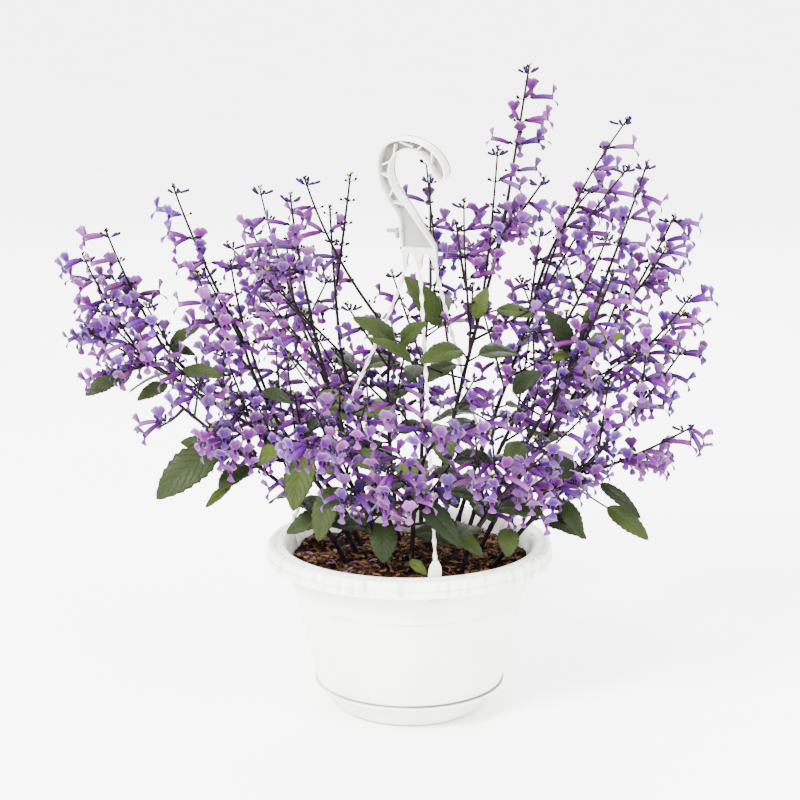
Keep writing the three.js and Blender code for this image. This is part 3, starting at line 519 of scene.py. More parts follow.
def leaf_look(name, under):
    """A leaf's face: net of pale side veins over quilted green, or the dull purple underside."""
    n = Nodes(name)
    across, along, tint = n.place()
    aside = n.size(across)
    slant = n.math("SUBTRACT", n.times(along, VEINS), n.times(aside, VEIN_SLANT))
    side_vein = n.range(n.size(n.math("SUBTRACT", n.math("FRACT", slant), 0.5)), 0.5, 0.4)
    midrib = n.range(aside, 0.0, 0.07, 1.0, 0.0)
    vein = n.math("MAXIMUM", n.times(side_vein, 0.75), midrib)
    net = n.range(n.cells(420.0, feature="DISTANCE_TO_EDGE"), 0.0, 0.12, 1.0, 0.0)
    blotch = n.noise(60, 4)
    if under:
        tone = n.ramp(blotch, (0.3, "#4b3a48"), (0.55, "#6a5164"), (0.75, "#7d7466"))
        veined = n.blend(n.times(vein, 0.8), tone, "#8f7d78")
    else:
        lively = n.blend(tint, "#3d4f2e", "#7fa043")
        tone = n.blend(n.range(blotch, 0.35, 0.7), lively, "#4c6334")
        tone = n.blend(n.range(n.noise(25, 2), 0.5, 0.75, 0.0, 0.35), tone, "#2f3a28")
        tone = n.blend(n.range(aside, 0.86, 1.0, 0.0, 0.55), tone, "#4f4238")
        veined = n.blend(n.times(vein, 0.5), tone, "#b4c48c")
        veined = n.blend(n.times(net, 0.12), veined, "#8ea36a")
    n.paint(veined, 1.3, n.range(tint, 0.1, 1.0, 0.03, 0.115), n.range(tint, 0.0, 1.0, 0.52, 0.485))
    n.rough(n.noise(200, 3), 0.36, 0.55)
    sunk = n.math("ADD", n.times(vein, 1.2), n.times(net, 0.5))
    n.bump(n.math("SUBTRACT", n.noise(500, 3), sunk), 0.5, 0.0006)
    n.set(Specular_IOR_Level=0.12, IOR=1.4)
    return n.material


def flower_mood(n, tint):
    """Each flower's own lean towards pink, and how bright it is."""
    return n.range(n.remainder(tint, 7.0), 0.0, 1.0, 0.488, 0.572), n.remainder(tint, 13.0)


def tube_look():
    """A flower's tube: deep at its base, paler along the top, with fine lengthwise streaks."""
    n = Nodes("lavender_tube")
    across, along, tint = n.place()
    hue, glow = flower_mood(n, tint)
    streak = n.noise(4, 2, 0.5, n.vector(n.times(across, 6.0), along, n.times(tint, 50.0)))
    base = n.ramp(along, (0.0, "#6a3f97"), (0.35, "#8c55b8"), (0.8, "#ac7dd0"), (1.0, "#e2cff2"))
    deep = n.blend(n.range(streak, 0.4, 0.7, 0.0, 0.55), base, "#6a40a2")
    tone = n.blend(n.range(tint, 0.5, 1.0, 0.0, 0.35), deep, "#d3b3e2")
    n.paint(tone, 1.25, n.range(glow, 0.0, 1.0, 0.07, 0.2), hue)
    n.set(Roughness=0.55, Specular_IOR_Level=0.08, IOR=1.38)
    n.bump(n.noise(900, 3), 0.3, 0.0003)
    return n.material


def lip_look():
    """Petal faces: pale margins, partly their own colour and partly a painted highlight, a deeper
    middle, dark streaks and dots rising from the throat.
    """
    n = Nodes("lavender_petal")
    across, along, tint = n.place()
    hue, glow = flower_mood(n, tint)
    # Pale margins and tip: partly the petal's own paler edge, partly a painted highlight.
    edge = n.math("MAXIMUM", n.range(n.size(across), 0.72, 1.0), n.range(along, 0.82, 1.0))
    body = n.ramp(along, (0.0, "#c9aee4"), (0.3, "#8a5cba"), (0.65, "#a276cc"), (1.0, "#b892dc"))
    vary = n.noise(260, 3)
    body = n.blend(n.range(vary, 0.35, 0.7, 0.0, 0.6), body, "#7c4fb0")
    body = n.blend(n.times(edge, 0.85), body, "#efe4fb")
    fan = n.math("SINE", n.times(across, 22.0))
    streak = n.times(n.range(fan, 0.55, 0.95), n.range(along, 0.75, 0.2))
    spots = n.times(n.range(n.cells(900.0), 0.3, 0.2), n.range(along, 0.7, 0.3))
    marks = n.math("MAXIMUM", streak, n.times(spots, 0.8))
    body = n.blend(n.times(marks, 0.6), body, "#4a2590")
    tone = n.blend(n.range(tint, 0.55, 1.0, 0.0, 0.4), body, "#cfa9e0")
    n.paint(tone, 1.25, n.range(glow, 0.0, 1.0, 0.1, 0.27), hue)
    n.set(Roughness=0.6, Specular_IOR_Level=0.08, IOR=1.38)
    n.bump(n.math("ADD", vary, n.times(fan, 0.25)), 0.4, 0.0005)
    return n.material


def calyx_look():
    """Dark, finely hairy calyx and flower stalk; the grains of a young tip are yellow-green."""
    n = Nodes("dark_calyx")
    young = n.range(n.place()[2], 0.6, 0.75)
    dark = n.ramp(n.noise(300, 3), (0.3, "#1b1220"), (0.6, "#3a2440"), (0.8, "#4c4a34"))
    n.paint(n.blend(young, dark, "#a9ab58"), 1.1, n.range(young, 0.0, 1.0, 0.12, 0.3))
    n.set(Roughness=0.7, Specular_IOR_Level=0.05)
    n.bump(n.noise(1500, 3), 0.5, 0.0003)
    return n.material


def bud_look():
    """A closed bud, deep violet with a darker tip."""
    n = Nodes("violet_bud")
    stops = [(0.0, "#8a63b4"), (0.5, "#6a419c"), (0.85, "#52307f"), (1.0, "#3a1f5f")]
    tone = n.ramp(n.place()[1], *stops)
    n.paint(n.blend(n.range(n.noise(700, 3), 0.4, 0.7, 0.0, 0.4), tone, "#9a72c4"), 1.2, 0.17)
    n.set(Roughness=0.6, Specular_IOR_Level=0.08)
    n.bump(n.noise(1200, 3), 0.4, 0.0003)
    return n.material


def floor_look():
    n = Nodes("studio_floor")
    n.set(Base_Color=n.blend(n.range(n.noise(1.5, 2), 0.3, 0.7), "#fbfbfb", "#f6f6f6"))
    n.set(Roughness=0.9, Specular_IOR_Level=0.1)
    return n.material


POT_LOOK = plastic_look("white_pot_plastic", "#e2e2d9", "#d6d7cc", 0.42, 1.6)
SAUCER_LOOK = plastic_look("white_saucer_plastic", "#d9dad0", "#cfd0c4", 0.45, 1.2)
STEM_LOOK = stem_look()
LIP_LOOK = lip_look()

# Each piece's looks, and what its faces on each of them are.
HANGER_LOOKS = [hanger_look(), recess_shade_look()]
ON_RIM, ON_WEB = range(2)
MIX_LOOKS = [soil_look(), bark_look(), LIP_LOOK]
ON_SOIL, ON_BARK, ON_PETAL = range(3)
LEAF_LOOKS = [STEM_LOOK, leaf_look("leaf_upper_side", False), leaf_look("leaf_underside", True)]
ON_STEM, ON_TOP, ON_UNDER = range(3)
SPRAY_LOOKS = [calyx_look(), tube_look(), LIP_LOOK, STEM_LOOK, bud_look()]
ON_CALYX, ON_TUBE, ON_LIP, ON_AXIS, ON_BUD = range(5)


# Pot and saucer

RIM_R = 125
MOUTH_R = 111
WALL = 2.3
SEAM_R = 82
SEAM_Z = 25.6
SHOULDER_Z = 147
SHOULDER_R = 110.5
LEDGE_Z = 104
LEDGE_OUT = 0.8
SPIGOT_R = 69.5
SPIGOT_TOP_R = 78
SPIGOT_FOOT_R = 62
SPIGOT_BEND_Z = 15
FLOOR_Z = 7
POT_SIDES = 144
POT_CREASE = 32
LIP_R = 84
LIP_Z = 25.2


def wall_radius(z):
    share = (z - SEAM_Z) / (SHOULDER_Z - SEAM_Z)
    return mix(SEAM_R, SHOULDER_R, share) + (LEDGE_OUT if z > LEDGE_Z else 0)


def lining_radius(z):
    return mix(SEAM_R - WALL, MOUTH_R - 2, (z - SEAM_Z) / (RIM_TOP - SEAM_Z))


def rounded(corners, steps=3):
    """A profile from (radius, height) corners. A third number is the radius that rounds one."""
    made = []
    for i, (radius, z, *fillet) in enumerate(corners):
        if not fillet:
            made.append((radius, z))
            continue
        here = Vector((radius, z))
        before, after = (Vector(corners[j][:2]) - here for j in (i - 1, i + 1))
        start = here + before.normalized() * min(fillet[0], before.length * 0.45)
        end = here + after.normalized() * min(fillet[0], after.length * 0.45)
        for t in even(steps):
            made.append(tuple(start.lerp(here, t).lerp(here.lerp(end, t), t)))
    return made


def make_turned(name, look, slot, node, corners):
    """A turned piece whose profile starts and ends on the axis."""
    profile = rounded(corners)
    rings = [level_ring(radius, z, POT_SIDES) for radius, z in profile[1:-1]]
    builder = Builder()
    capped(builder, rings, (0, 0, profile[0][1]), (0, 0, profile[-1][1]))
    builder.piece(name, [look], slot, node, POT_CREASE)


def make_pot():
    ledge_r = wall_radius(LEDGE_Z)
    skirt_z = RIM_TOP - RIM_SKIRT
    corners = [
        (0, FLOOR_Z),
        (SPIGOT_FOOT_R, FLOOR_Z, 2),
        (SPIGOT_R, SPIGOT_BEND_Z, 2),
        (SPIGOT_R + 1, SPIGOT_BEND_Z + 2.5),
        (SPIGOT_TOP_R, SEAM_Z),
        (SEAM_R, SEAM_Z, 0.8),
        (wall_radius(60), 60),
        (ledge_r, LEDGE_Z, 0.5),
        (ledge_r + LEDGE_OUT, LEDGE_Z + 1, 0.5),
        (SHOULDER_R + LEDGE_OUT, SHOULDER_Z),
        (RIM_R - WALL, SHOULDER_Z + 0.4),
        (RIM_R - WALL, skirt_z),
        (RIM_R, skirt_z, 0.8),
        (RIM_R, RIM_TOP - 9, 0.3),
        (RIM_R - 0.5, RIM_TOP - 8.4),
        (RIM_R - 0.5, RIM_TOP - 3, 1.5),
        (RIM_R - 2.6, RIM_TOP, 2),
        (RIM_R - 6, RIM_TOP, 0.3),
        (RIM_R - 6.6, RIM_TOP - 0.6),
        (RIM_R - 8.4, RIM_TOP - 0.6),
        (RIM_R - 9, RIM_TOP, 0.4),
        (MOUTH_R, RIM_TOP, 1.6),
        (lining_radius(RIM_TOP - 3), RIM_TOP - 3, 2),
        (lining_radius(90), 90),
        (SEAM_R - WALL, SEAM_Z + 3),
        (SPIGOT_R - WALL, SPIGOT_BEND_Z + 2.5),
        (SPIGOT_FOOT_R - 1.5, FLOOR_Z + WALL),
        (0, FLOOR_Z + WALL),
    ]
    make_turned("pot_shell", POT_LOOK, "pot_plastic", "pot", corners)


def make_saucer():
    corners = [
        (0, 0.6),
        (48, 0.6),
        (50, 0),
        (60, 0, 2),
        (67, 4.5, 3),
        (73, 15, 3),
        (76, 21.5, 1.5),
        (LIP_R, 22.5, 0.7),
        (LIP_R, LIP_Z, 0.7),
        (78.8, LIP_Z, 1),
        (72.2, 17, 2),
        (64.8, 6.2, 2),
        (59, 2.2, 2),
        (0, 2.2),
    ]
    make_turned("drip_saucer", SAUCER_LOOK, "saucer_plastic", "saucer", corners)


# Bark mix

MIX_GAP = 1.2
MIX_TOP = 131

# The mix rises by the mound towards its middle, and by the bank towards the pot's wall.
MIX_MOUND = 7
MIX_BANK = 6
BANK_REACH = (70, 106)
MIX_SIDES = 120
MIX_RINGS = 44
MIX_R = lining_radius(MIX_TOP) - MIX_GAP
CHIPS = 2600
CHIP_KEY = 900
CHIP_ROOM = 5
FALLEN = 14
FALLEN_KEY = 901
BLADE_THICK = 0.3


def mix_height(x, y):
    mound = MIX_MOUND * (1 - (x * x + y * y) / (SHOULDER_R * SHOULDER_R))
    mound += MIX_BANK * smooth(*BANK_REACH, math.hypot(x, y))
    return MIX_TOP + mound + 2 * math.sin(x / 11 + y / 17) + 1.6 * math.sin(y / 9 - x / 23)


def crumb(x, y):
    """The fine unevenness of the peat."""
    fine = 0.7 * math.sin(x * 0.9 + 1.3 * math.sin(y * 0.7))
    return fine + 0.6 * math.sin(y * 1.1 + 1.7 * math.sin(x * 0.5))


def make_mix():
    """One closed body with a fine, crumbly top, loose chips of bark and a few fallen petals."""
    builder = Builder()
    wall = [
        (SPIGOT_FOOT_R - 4, FLOOR_Z + WALL + MIX_GAP),
        (SPIGOT_R - WALL - 1.5, SPIGOT_BEND_Z + 3.2),
        (lining_radius(SEAM_Z + 5) - MIX_GAP, SEAM_Z + 5),
        (lining_radius(MIX_TOP - 5) - MIX_GAP, MIX_TOP - 5),
    ]
    rings = [level_ring(radius, z, MIX_SIDES) for radius, z in wall]
    for r in range(MIX_RINGS):
        drop = 0 if r else 1.5
        level = level_ring((MIX_R - 0.4) * (1 - r / MIX_RINGS), 0, MIX_SIDES)
        rings.append([(x, y, mix_height(x, y) + crumb(x, y) - drop) for x, y, _ in level])
    capped(builder, rings, (0, 0, wall[0][1]), (0, 0, mix_height(0, 0)), ON_SOIL)
    for number in range(CHIPS):
        add_chip(builder, number)
    for number in range(FALLEN):
        add_fallen_petal(builder, number)
    builder.piece("bark_mix", MIX_LOOKS, "bark_mix", "potting_mix", 45)


def add_chip(builder, number):
    """One sliver of bark: a bent, pointed block that lies on the mix or sticks out of it."""

    def pick(low, high, key):
        return spread(low, high, CHIP_KEY, number, key)

    radius = (MIX_R - CHIP_ROOM) * math.sqrt(pick(0, 1, 1))
    x, y, _ = toward(TAU * pick(0, 1, 2)) * radius
    length = mix(4, 17, pick(0, 1, 3) ** 2)
    width = pick(0.9, 3.4, 4) * (0.5 if length > 12 else 1)
    thick = pick(0.5, 1.5, 5)
    tilt = pick(-0.35, 0.35, 7)
    way = toward(TAU * pick(0, 1, 6)) * math.cos(tilt) + UP * math.sin(tilt)
    side = unit(way.cross(UP + Vector((pick(-0.5, 0.5, 8), pick(-0.5, 0.5, 9), 0))))
    up = side.cross(way)
    centre = Vector((x, y, mix_height(x, y) + pick(0.2, 1.8, 10)))
    bend = pick(-0.12, 0.12, 11)
    tint = pick(0, 1, 12) ** 1.25
    points, marks = [], []
    for step, wide in ((-0.5, 0.35), (-0.2, 1.0), (0.2, 0.9), (0.5, 0.25)):
        middle = centre + way * (step * length) + up * (bend * length * (1 - 4 * step * step))
        for a, b in ((-1, -1), (1, -1), (1, 1), (-1, 1)):
            points.append(middle + side * (a * width / 2 * wide) + up * (b * thick / 2 * wide))
            marks.append((a * width / 2, (step + 0.5) * length, tint))
    past = max(math.hypot(p.x, p.y) for p in points) - (MIX_R - 1)
    if past > 0:
        shift = unit(Vector((-x, -y, 0))) * past
        points = [p + shift for p in points]
    builder.add(points, tube_faces(4, 4), ON_BARK, marks)


def add_fallen_petal(builder, number):
    def pick(low, high, key):
        return spread(low, high, FALLEN_KEY, number, key)

    x, y, _ = toward(TAU * pick(0, 1, 2)) * pick(40, 100, 1)
    turn = TAU * pick(0, 1, 3)
    way, side = toward(turn, 0.1), Vector((-math.sin(turn), math.cos(turn), 0))
    centre = Vector((x, y, mix_height(x, y) + 2.2))
    half, long = pick(1.6, 2.6, 4), pick(3, 5, 5)

    def place(u, v):
        wide = half * math.sin(math.pi * (0.12 + 0.8 * v))
        return centre + way * ((v - 0.5) * 2 * long) + side * (u * wide) + UP * (0.9 * u * u)

    add_sheet(builder, 5, 4, place, BLADE_THICK, pick(0, 1, 6), ON_PETAL, ON_PETAL)


# Hanger

CLIP_WIDTH = 11
CLIP_THICK = 2.4
CLIP_TOP = 163
CLIP_FOOT = 126
CLIP_GAP = 1
CLIP_SHOULDER = 9
CLIP_NECK = 2.2
CLIP_STEPS = 14
TOE_Z = 129
TOE_WIDTH = 9
TOE_HEIGHT = 3
TOE_OUT = 2.4
PLATE_FOOT = Vector((6, 0, 395))
PLATE_TURN = -25
PLATE_LEAN = 12
HOOK_DEPTH = 12
HOOK_LEFT = -24.3
HOOK_RIGHT = 38.5
HOOK_TOP = 112
HOOK_BAND = 11
HOOK_STEPS = 16
HOOK_RIM = 1.8
HOOK_WEB = 2.6
RECESS_FOOT = 15
LEG_END = -3
ARCH_HEIGHT = 13.5
TAPER_TOP = 58
TAPER_ANGLE = 7.5
RIB = 1.4
RIB_COUNT = 8
RIB_LENGTH = 12
RIB_TURN = 48
RIB_TOP = 8

# The middle line of the hook's recess, across and up in the plate's own frame.
RIB_LINE = [(-4, 49), (-12, 62), (-18, 81), (-12, 98), (4, 106.5), (20, 103), (30, 92)]

# The two small blocks beside the plate: size and place.
PEGS = [((14, 3, 3), (-15.5, -5, 29.5)), ((2.4, 3.4, 9), (-13.5, -5, 27.5))]
LEG_DEPTH = -2.4

# Each strand's leg, by its place across the plate, and its clip's azimuth on the pot.
STRANDS = [(-9.75, 251), (3.5, 11), (18.5, 131)]
STRAND_R = 1.9
STRAND_FLAT = 0.52
STRAND_TWIST = TAU / 26
STRAND_STEPS = 110

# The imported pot's lining has 32 flat sides, which lie nearer to the axis by this factor.
FACET = math.cos(math.pi / 32)


def rotation(angle, axis="Z", size=4):
    return Matrix.Rotation(math.radians(angle), size, axis)


HANGER_PLACE = Matrix.Translation(PLATE_FOOT) @ rotation(PLATE_TURN) @ rotation(PLATE_LEAN, "X")


def path(start, *legs):
    """Points of a path in the plane: each leg is a point, or a curve's control points."""
    points = [Vector(start)]
    for leg in legs:
        controls = [points[-1], *[Vector(p) for p in leg]]
        count = 1 if len(controls) == 2 else HOOK_STEPS
        points += [bezier(controls, t) for t in even(count)[1:]]
    return points


def hanger_outline(inset):
    """The hook's and plate's outline, drawn in by an inset; the three legs only without one."""
    foot = RECESS_FOOT if inset else LEG_END
    left, top, right = HOOK_LEFT + inset, HOOK_TOP - inset, HOOK_RIGHT - inset
    inner_top = HOOK_TOP - HOOK_BAND + inset
    inner_left = HOOK_LEFT + HOOK_BAND + 1 - inset
    edge_right = 21 - inset * 1.4
    points = path(
        (-11.5 + inset, foot),
        [(-9.5 + inset, 40)],
        [(-9.5 + inset, 50), (left, 62), (left, 82)],
        [(left, 102), (-12, top), (3.5, top)],
        [(20, top), (right, 98), (right, 83)],
        [(right, 76 + inset), (31 + inset / 2, 76 + inset)],
        [(26, 82 + inset), (23 + inset, inner_top), (5, inner_top)],
        [(-6, inner_top), (inner_left, 93), (inner_left, 81)],
        [(inner_left, 68), (-4 - inset, 60), (-inset * 0.9, 54 - inset / 2)],
        [(edge_right, 17)],
    )
    if inset:
        return points + [Vector((edge_right, foot))]
    points += [Vector((20.5, foot)), Vector((16.5, foot))]
    for centre, half in ((11, 5.5), (-3.25, 4.75)):
        for share in even(12):
            x, y, _ = toward(math.pi * share)
            points.append(Vector((centre + half * x, foot + ARCH_HEIGHT * y)))
    return points


def flat_mesh(outlines, thickness, bevel):
    """Points and faces of a plate with the outlines' area, front at y = -thickness."""
    curve = bpy.data.curves.new("plate", "CURVE")
    curve.dimensions = "2D"
    curve.fill_mode = "BOTH"
    curve.extrude = thickness / 2 - bevel
    curve.bevel_depth = bevel
    curve.bevel_resolution = 1
    curve.offset = -bevel
    for outline in outlines:
        spline = curve.splines.new("POLY")
        spline.points.add(len(outline) - 1)
        spline.use_cyclic_u = True
        for point, place in zip(spline.points, outline):
            point.co = (place.x, place.y, 0, 1)
    holder = show(bpy.data.objects.new("plate", curve))
    seen = holder.evaluated_get(bpy.context.evaluated_depsgraph_get())
    mesh = bpy.data.meshes.new_from_object(seen)
    points = [Vector((v.co.x, -thickness / 2 - v.co.z, v.co.y)) for v in mesh.vertices]
    faces = [tuple(reversed(p.vertices)) for p in mesh.polygons]
    bpy.data.objects.remove(holder)
    bpy.data.curves.remove(curve)
    bpy.data.meshes.remove(mesh)
    return points, faces


def tapered(points):
    """The plate's lower part gets thinner towards its foot."""
    thin = math.tan(math.radians(TAPER_ANGLE))
    made = []
    for p in points:
        depth = HOOK_DEPTH
        if p.z < TAPER_TOP:
            depth = max(HOOK_DEPTH - 0.5 - (TAPER_TOP - p.z) * thin, HOOK_WEB + 0.4)
        made.append(Vector((p.x, max(p.y, -depth) if p.y < -HOOK_WEB else p.y, p.z)))
    return made


BOX_CORNERS = [Vector((x, y, z)) / 2 for x in (-1, 1) for y in (-1, 1) for z in (-1, 1)]
BOX_FACES = [(0, 1, 3, 2), (4, 6, 7, 5), (0, 4, 5, 1), (2, 3, 7, 6), (0, 2, 6, 4), (1, 5, 7, 3)]


def add_block(builder, size, matrix, look=ON_RIM):
    builder.add([matrix @ (corner * Vector(size)) for corner in BOX_CORNERS], BOX_FACES, look)


def clip_radius(z):
    """The inside of the pot where a clip's back lies."""
    return lining_radius(z) * FACET - CLIP_GAP


def add_clip(builder, azimuth):
    """A tab against the pot's lining: a thin blade with raised edges, a neck, and a toe."""
    half, turn = CLIP_WIDTH / 2, rotation(azimuth)
    across = [-1, -0.82, -0.7, 0, 0.7, 0.82, 1]
    front = [0.5, 0, 0.7, 0.7, 0.7, 0, 0.5]
    points, columns = [], 2 * len(across)
    for z in taper(CLIP_FOOT, CLIP_TOP, CLIP_STEPS):
        shoulder = clamp((z - (CLIP_TOP - CLIP_SHOULDER)) / CLIP_SHOULDER, 0, 1)
        wide = half - (half - CLIP_NECK) * shoulder**1.6
        out = clip_radius(z)
        ring = [(a * wide, -out + CLIP_THICK - f) for a, f in zip(across, front)]
        ring += [(a * wide, -out + (0.4 if abs(a) == 1 else 0)) for a in reversed(across)]
        points += [turn @ Vector((x, y, z)) for x, y in ring]
    builder.add(points, tube_faces(CLIP_STEPS + 1, columns, flip=True))
    toe_in = clip_radius(TOE_Z) - 1
    toe_out = wall_radius(TOE_Z) + TOE_OUT
    toe_place = Matrix.Translation((0, -(toe_in + toe_out) / 2, TOE_Z))
    add_block(builder, (TOE_WIDTH, toe_out - toe_in, TOE_HEIGHT), turn @ toe_place)


def strip(angle):
    """The outline of a strand, a flat strip."""
    return 1 / math.sqrt(math.cos(angle) ** 2 + (math.sin(angle) / STRAND_FLAT) ** 2)


def add_strand(builder, across, azimuth):
    """A strip, twisted along its length, from a leg of the plate to a clip."""
    leg = HANGER_PLACE @ Vector((across, LEG_DEPTH, -1))
    bend = HANGER_PLACE @ Vector((across, LEG_DEPTH, -22))
    top = CLIP_TOP - 3
    foot = rotation(azimuth, size=3) @ Vector((0, CLIP_THICK / 2 - clip_radius(top), top))
    curve = Curve(leg, bend, foot.lerp(bend, 0.15) + UP * 4, foot)
    radii = taper(STRAND_R, STRAND_R, STRAND_STEPS)
    rod(builder, curve.row(STRAND_STEPS), radii, 10, outline=strip, twist=STRAND_TWIST)


def add_ribs(builder):
    """The crossed ribs that stiffen the hook's recess, evenly along its middle line."""
    dots = [Vector((x, 0, z)) for x, z in RIB_LINE]
    lengths = [0.0]
    for a, b in zip(dots, dots[1:]):
        lengths.append(lengths[-1] + (b - a).length)
    for i in range(RIB_COUNT):
        target = lengths[-1] * (i + 0.5) / RIB_COUNT
        k = max(j for j in range(len(dots) - 1) if lengths[j] <= target)
        place = dots[k].lerp(dots[k + 1], (target - lengths[k]) / (lengths[k + 1] - lengths[k]))
        place.y = -(RIB_TOP + 1) / 2
        way = unit(dots[k + 1] - dots[k])
        lean = RIB_TURN if i % 2 else -RIB_TURN
        matrix = Matrix.Rotation(math.radians(lean) - math.atan2(way.z, way.x), 4, "Y")
        matrix = HANGER_PLACE @ Matrix.Translation(place) @ matrix
        add_block(builder, (RIB_LENGTH, RIB_TOP - 1, RIB), matrix)


def make_hanger():
    builder = Builder()
    outline, inner = hanger_outline(0), hanger_outline(HOOK_RIM)
    # The web behind the rim gets the recess's painted shade.
    points, faces = flat_mesh([outline], HOOK_WEB, 0.3)
    builder.add([HANGER_PLACE @ p for p in points], faces, ON_WEB)
    points, faces = flat_mesh([outline, inner], HOOK_DEPTH, 0.35)
    builder.add([HANGER_PLACE @ p for p in tapered(points)], faces, ON_RIM)
    add_ribs(builder)
    # The pegs also take the recess's painted shade.
    for size, place in PEGS:
        add_block(builder, size, HANGER_PLACE @ Matrix.Translation(place), ON_WEB)
    for across, azimuth in STRANDS:
        add_strand(builder, across, azimuth)
    for azimuth in sorted(azimuth for _, azimuth in STRANDS):
        add_clip(builder, azimuth)
    builder.piece("hook_and_strands", HANGER_LOOKS, "hanger_plastic", "hanger", 40)


# Plant

# Each stem: the points that steer its curve, from its root in the mix to its tip.
STEMS = {
    "p1": [(-45, -20, 95), (-60, -30, 190), (-115, -62, 215), (-195, -70, 290)],
    "p2": [(-40, 8, 95), (-55, 5, 230), (-160, -10, 260), (-228, 0, 312)],
    "p3": [(-32, 28, 95), (-60, 40, 230), (-150, 35, 240), (-213, 15, 318)],
    "p4": [(-28, -8, 95), (-70, -5, 215), (-125, -20, 250), (-142, -25, 335)],
    "p5": [(-5, 30, 95), (-15, 35, 200), (-25, 40, 270), (-15, 30, 325)],
    "p6": [(-15, -15, 95), (-35, -12, 200), (-75, -18, 290), (-85, -20, 360)],
    "p6b": [(0, 8, 95), (-25, 15, 200), (-58, 35, 280), (-62, 50, 320)],
    "p7": [(12, 12, 95), (22, 0, 200), (45, 0, 300), (77, 0, 412)],
    "p8": [(28, 25, 95), (50, 25, 210), (90, 30, 280), (112, 30, 372)],
    "p9": [(35, -8, 95), (60, -15, 190), (118, -20, 260), (142, -10, 320)],
    "p10": [(48, 12, 95), (75, 15, 190), (130, 10, 240), (163, 10, 318)],
    "p11": [(58, -18, 95), (80, -50, 180), (140, -52, 205), (172, -40, 255)],
    "p12": [(-18, -45, 95), (-25, -60, 190), (-50, -95, 230), (-70, -135, 265)],
    "p13": [(2, -48, 95), (0, -60, 200), (6, -112, 250), (18, -150, 272)],
    "p14": [(38, -42, 95), (48, -60, 185), (70, -110, 215), (85, -140, 240)],
    "p15": [(-25, 52, 95), (-40, 65, 200), (-80, 120, 270), (-105, 150, 325)],
    "p16": [(10, 55, 95), (12, 70, 200), (10, 120, 280), (20, 150, 350)],
    "p17": [(42, 45, 95), (60, 60, 195), (110, 110, 250), (140, 135, 310)],
}

# Each spray: its stem, the place along it, tips with counts of open flowers, bow and swing.
SPRAYS = [
    ("p2", 1, [(-280, 10, 400, 4), (-285, 60, 320, 4)], 0.06, 0),
    ("p2", 0.86, [(-260, -50, 365, 5), (-260, -40, 305, 3)], 0.08, 0.05),
    ("p3", 1, [(-255, -20, 425, 4), (-260, 30, 380, 4)], 0.04, 0),
    ("p4", 1, [(-200, 0, 460, 5)], 0.05, 0),
    ("p4", 0.9, [(-175, -60, 395, 5)], 0.08, 0.05),
    ("p4", 0.78, [(-150, -30, 400, 4)], 0.08, -0.05),
    ("p6", 1, [(-100, -20, 455, 4), (-117, -80, 400, 5)], 0.03, 0),
    ("p6", 0.85, [(-130, 40, 455, 4), (-110, 80, 405, 1)], 0.1, 0),
    ("p5", 1, [(-90, 20, 465, 4)], 0.1, 0),
    ("p6b", 1, [(-70, 60, 435, 0), (-50, -10, 470, 0)], 0.02, 0),
    ("p7", 0.58, [(14, 60, 480, 0)], 0.04, 0),
    ("p7", 0.75, [(45, -20, 450, 3), (40, 20, 425, 3)], 0.08, 0),
    ("p7", 1, [(100, 10, 560, 5)], 0, 0),
    ("p7", 0.86, [(72, -35, 495, 4), (110, -45, 470, 4)], 0.05, 0),
    ("p8", 1, [(150, -30, 460, 4)], -0.12, 0),
    ("p8", 0.93, [(185, 20, 515, 4)], -0.1, 0),
    ("p8", 0.85, [(180, -40, 480, 4)], -0.06, 0.05),
    ("p9", 1, [(200, 0, 480, 5)], 0.02, 0),
    ("p9", 0.85, [(165, -70, 395, 5)], 0.06, 0),
    ("p10", 1, [(230, 40, 430, 5), (215, -20, 410, 4)], 0.04, 0),
    ("p10", 0.9, [(195, 60, 385, 4)], 0.06, 0),
    ("p10", 0.8, [(235, -30, 370, 5), (245, 70, 340, 4)], 0.1, 0),
    ("p11", 1, [(235, 0, 320, 4), (195, -60, 325, 4)], 0.06, 0),
    ("p11", 0.8, [(235, -60, 265, 4), (215, 50, 205, 2)], 0.05, 0),
    ("p1", 0.96, [(-210, -60, 265, 3)], 0.1, 0),
    ("p1", 0.7, [(-160, -120, 275, 4)], 0.05, 0),
    ("p12", 1, [(-105, -150, 280, 3), (-75, -160, 270, 4)], 0.05, 0),
    ("p12", 0.7, [(-50, -150, 220, 4)], -0.05, 0),
    ("p13", 1, [(10, -170, 290, 4), (70, -190, 305, 4)], 0.05, 0),
    ("p13", 0.6, [(-10, -150, 220, 3)], -0.05, 0),
    ("p14", 1, [(65, -150, 245, 4)], 0.05, 0),
    ("p14", 0.75, [(120, -120, 245, 4), (145, -90, 225, 4)], 0.05, 0),
    ("p15", 1, [(-150, 190, 400, 3), (-110, 200, 370, 3)], 0.05, 0),
    ("p15", 0.7, [(-140, 130, 330, 3)], 0.06, 0),
    ("p16", 1, [(20, 190, 450, 4), (60, 215, 380, 3)], 0.05, 0),
    ("p16", 0.7, [(-30, 180, 320, 3)], 0.05, 0),
    ("p17", 1, [(185, 150, 400, 3), (150, 190, 370, 3)], 0.05, 0),
    ("p17", 0.7, [(160, 100, 330, 3)], 0.05, 0),
]

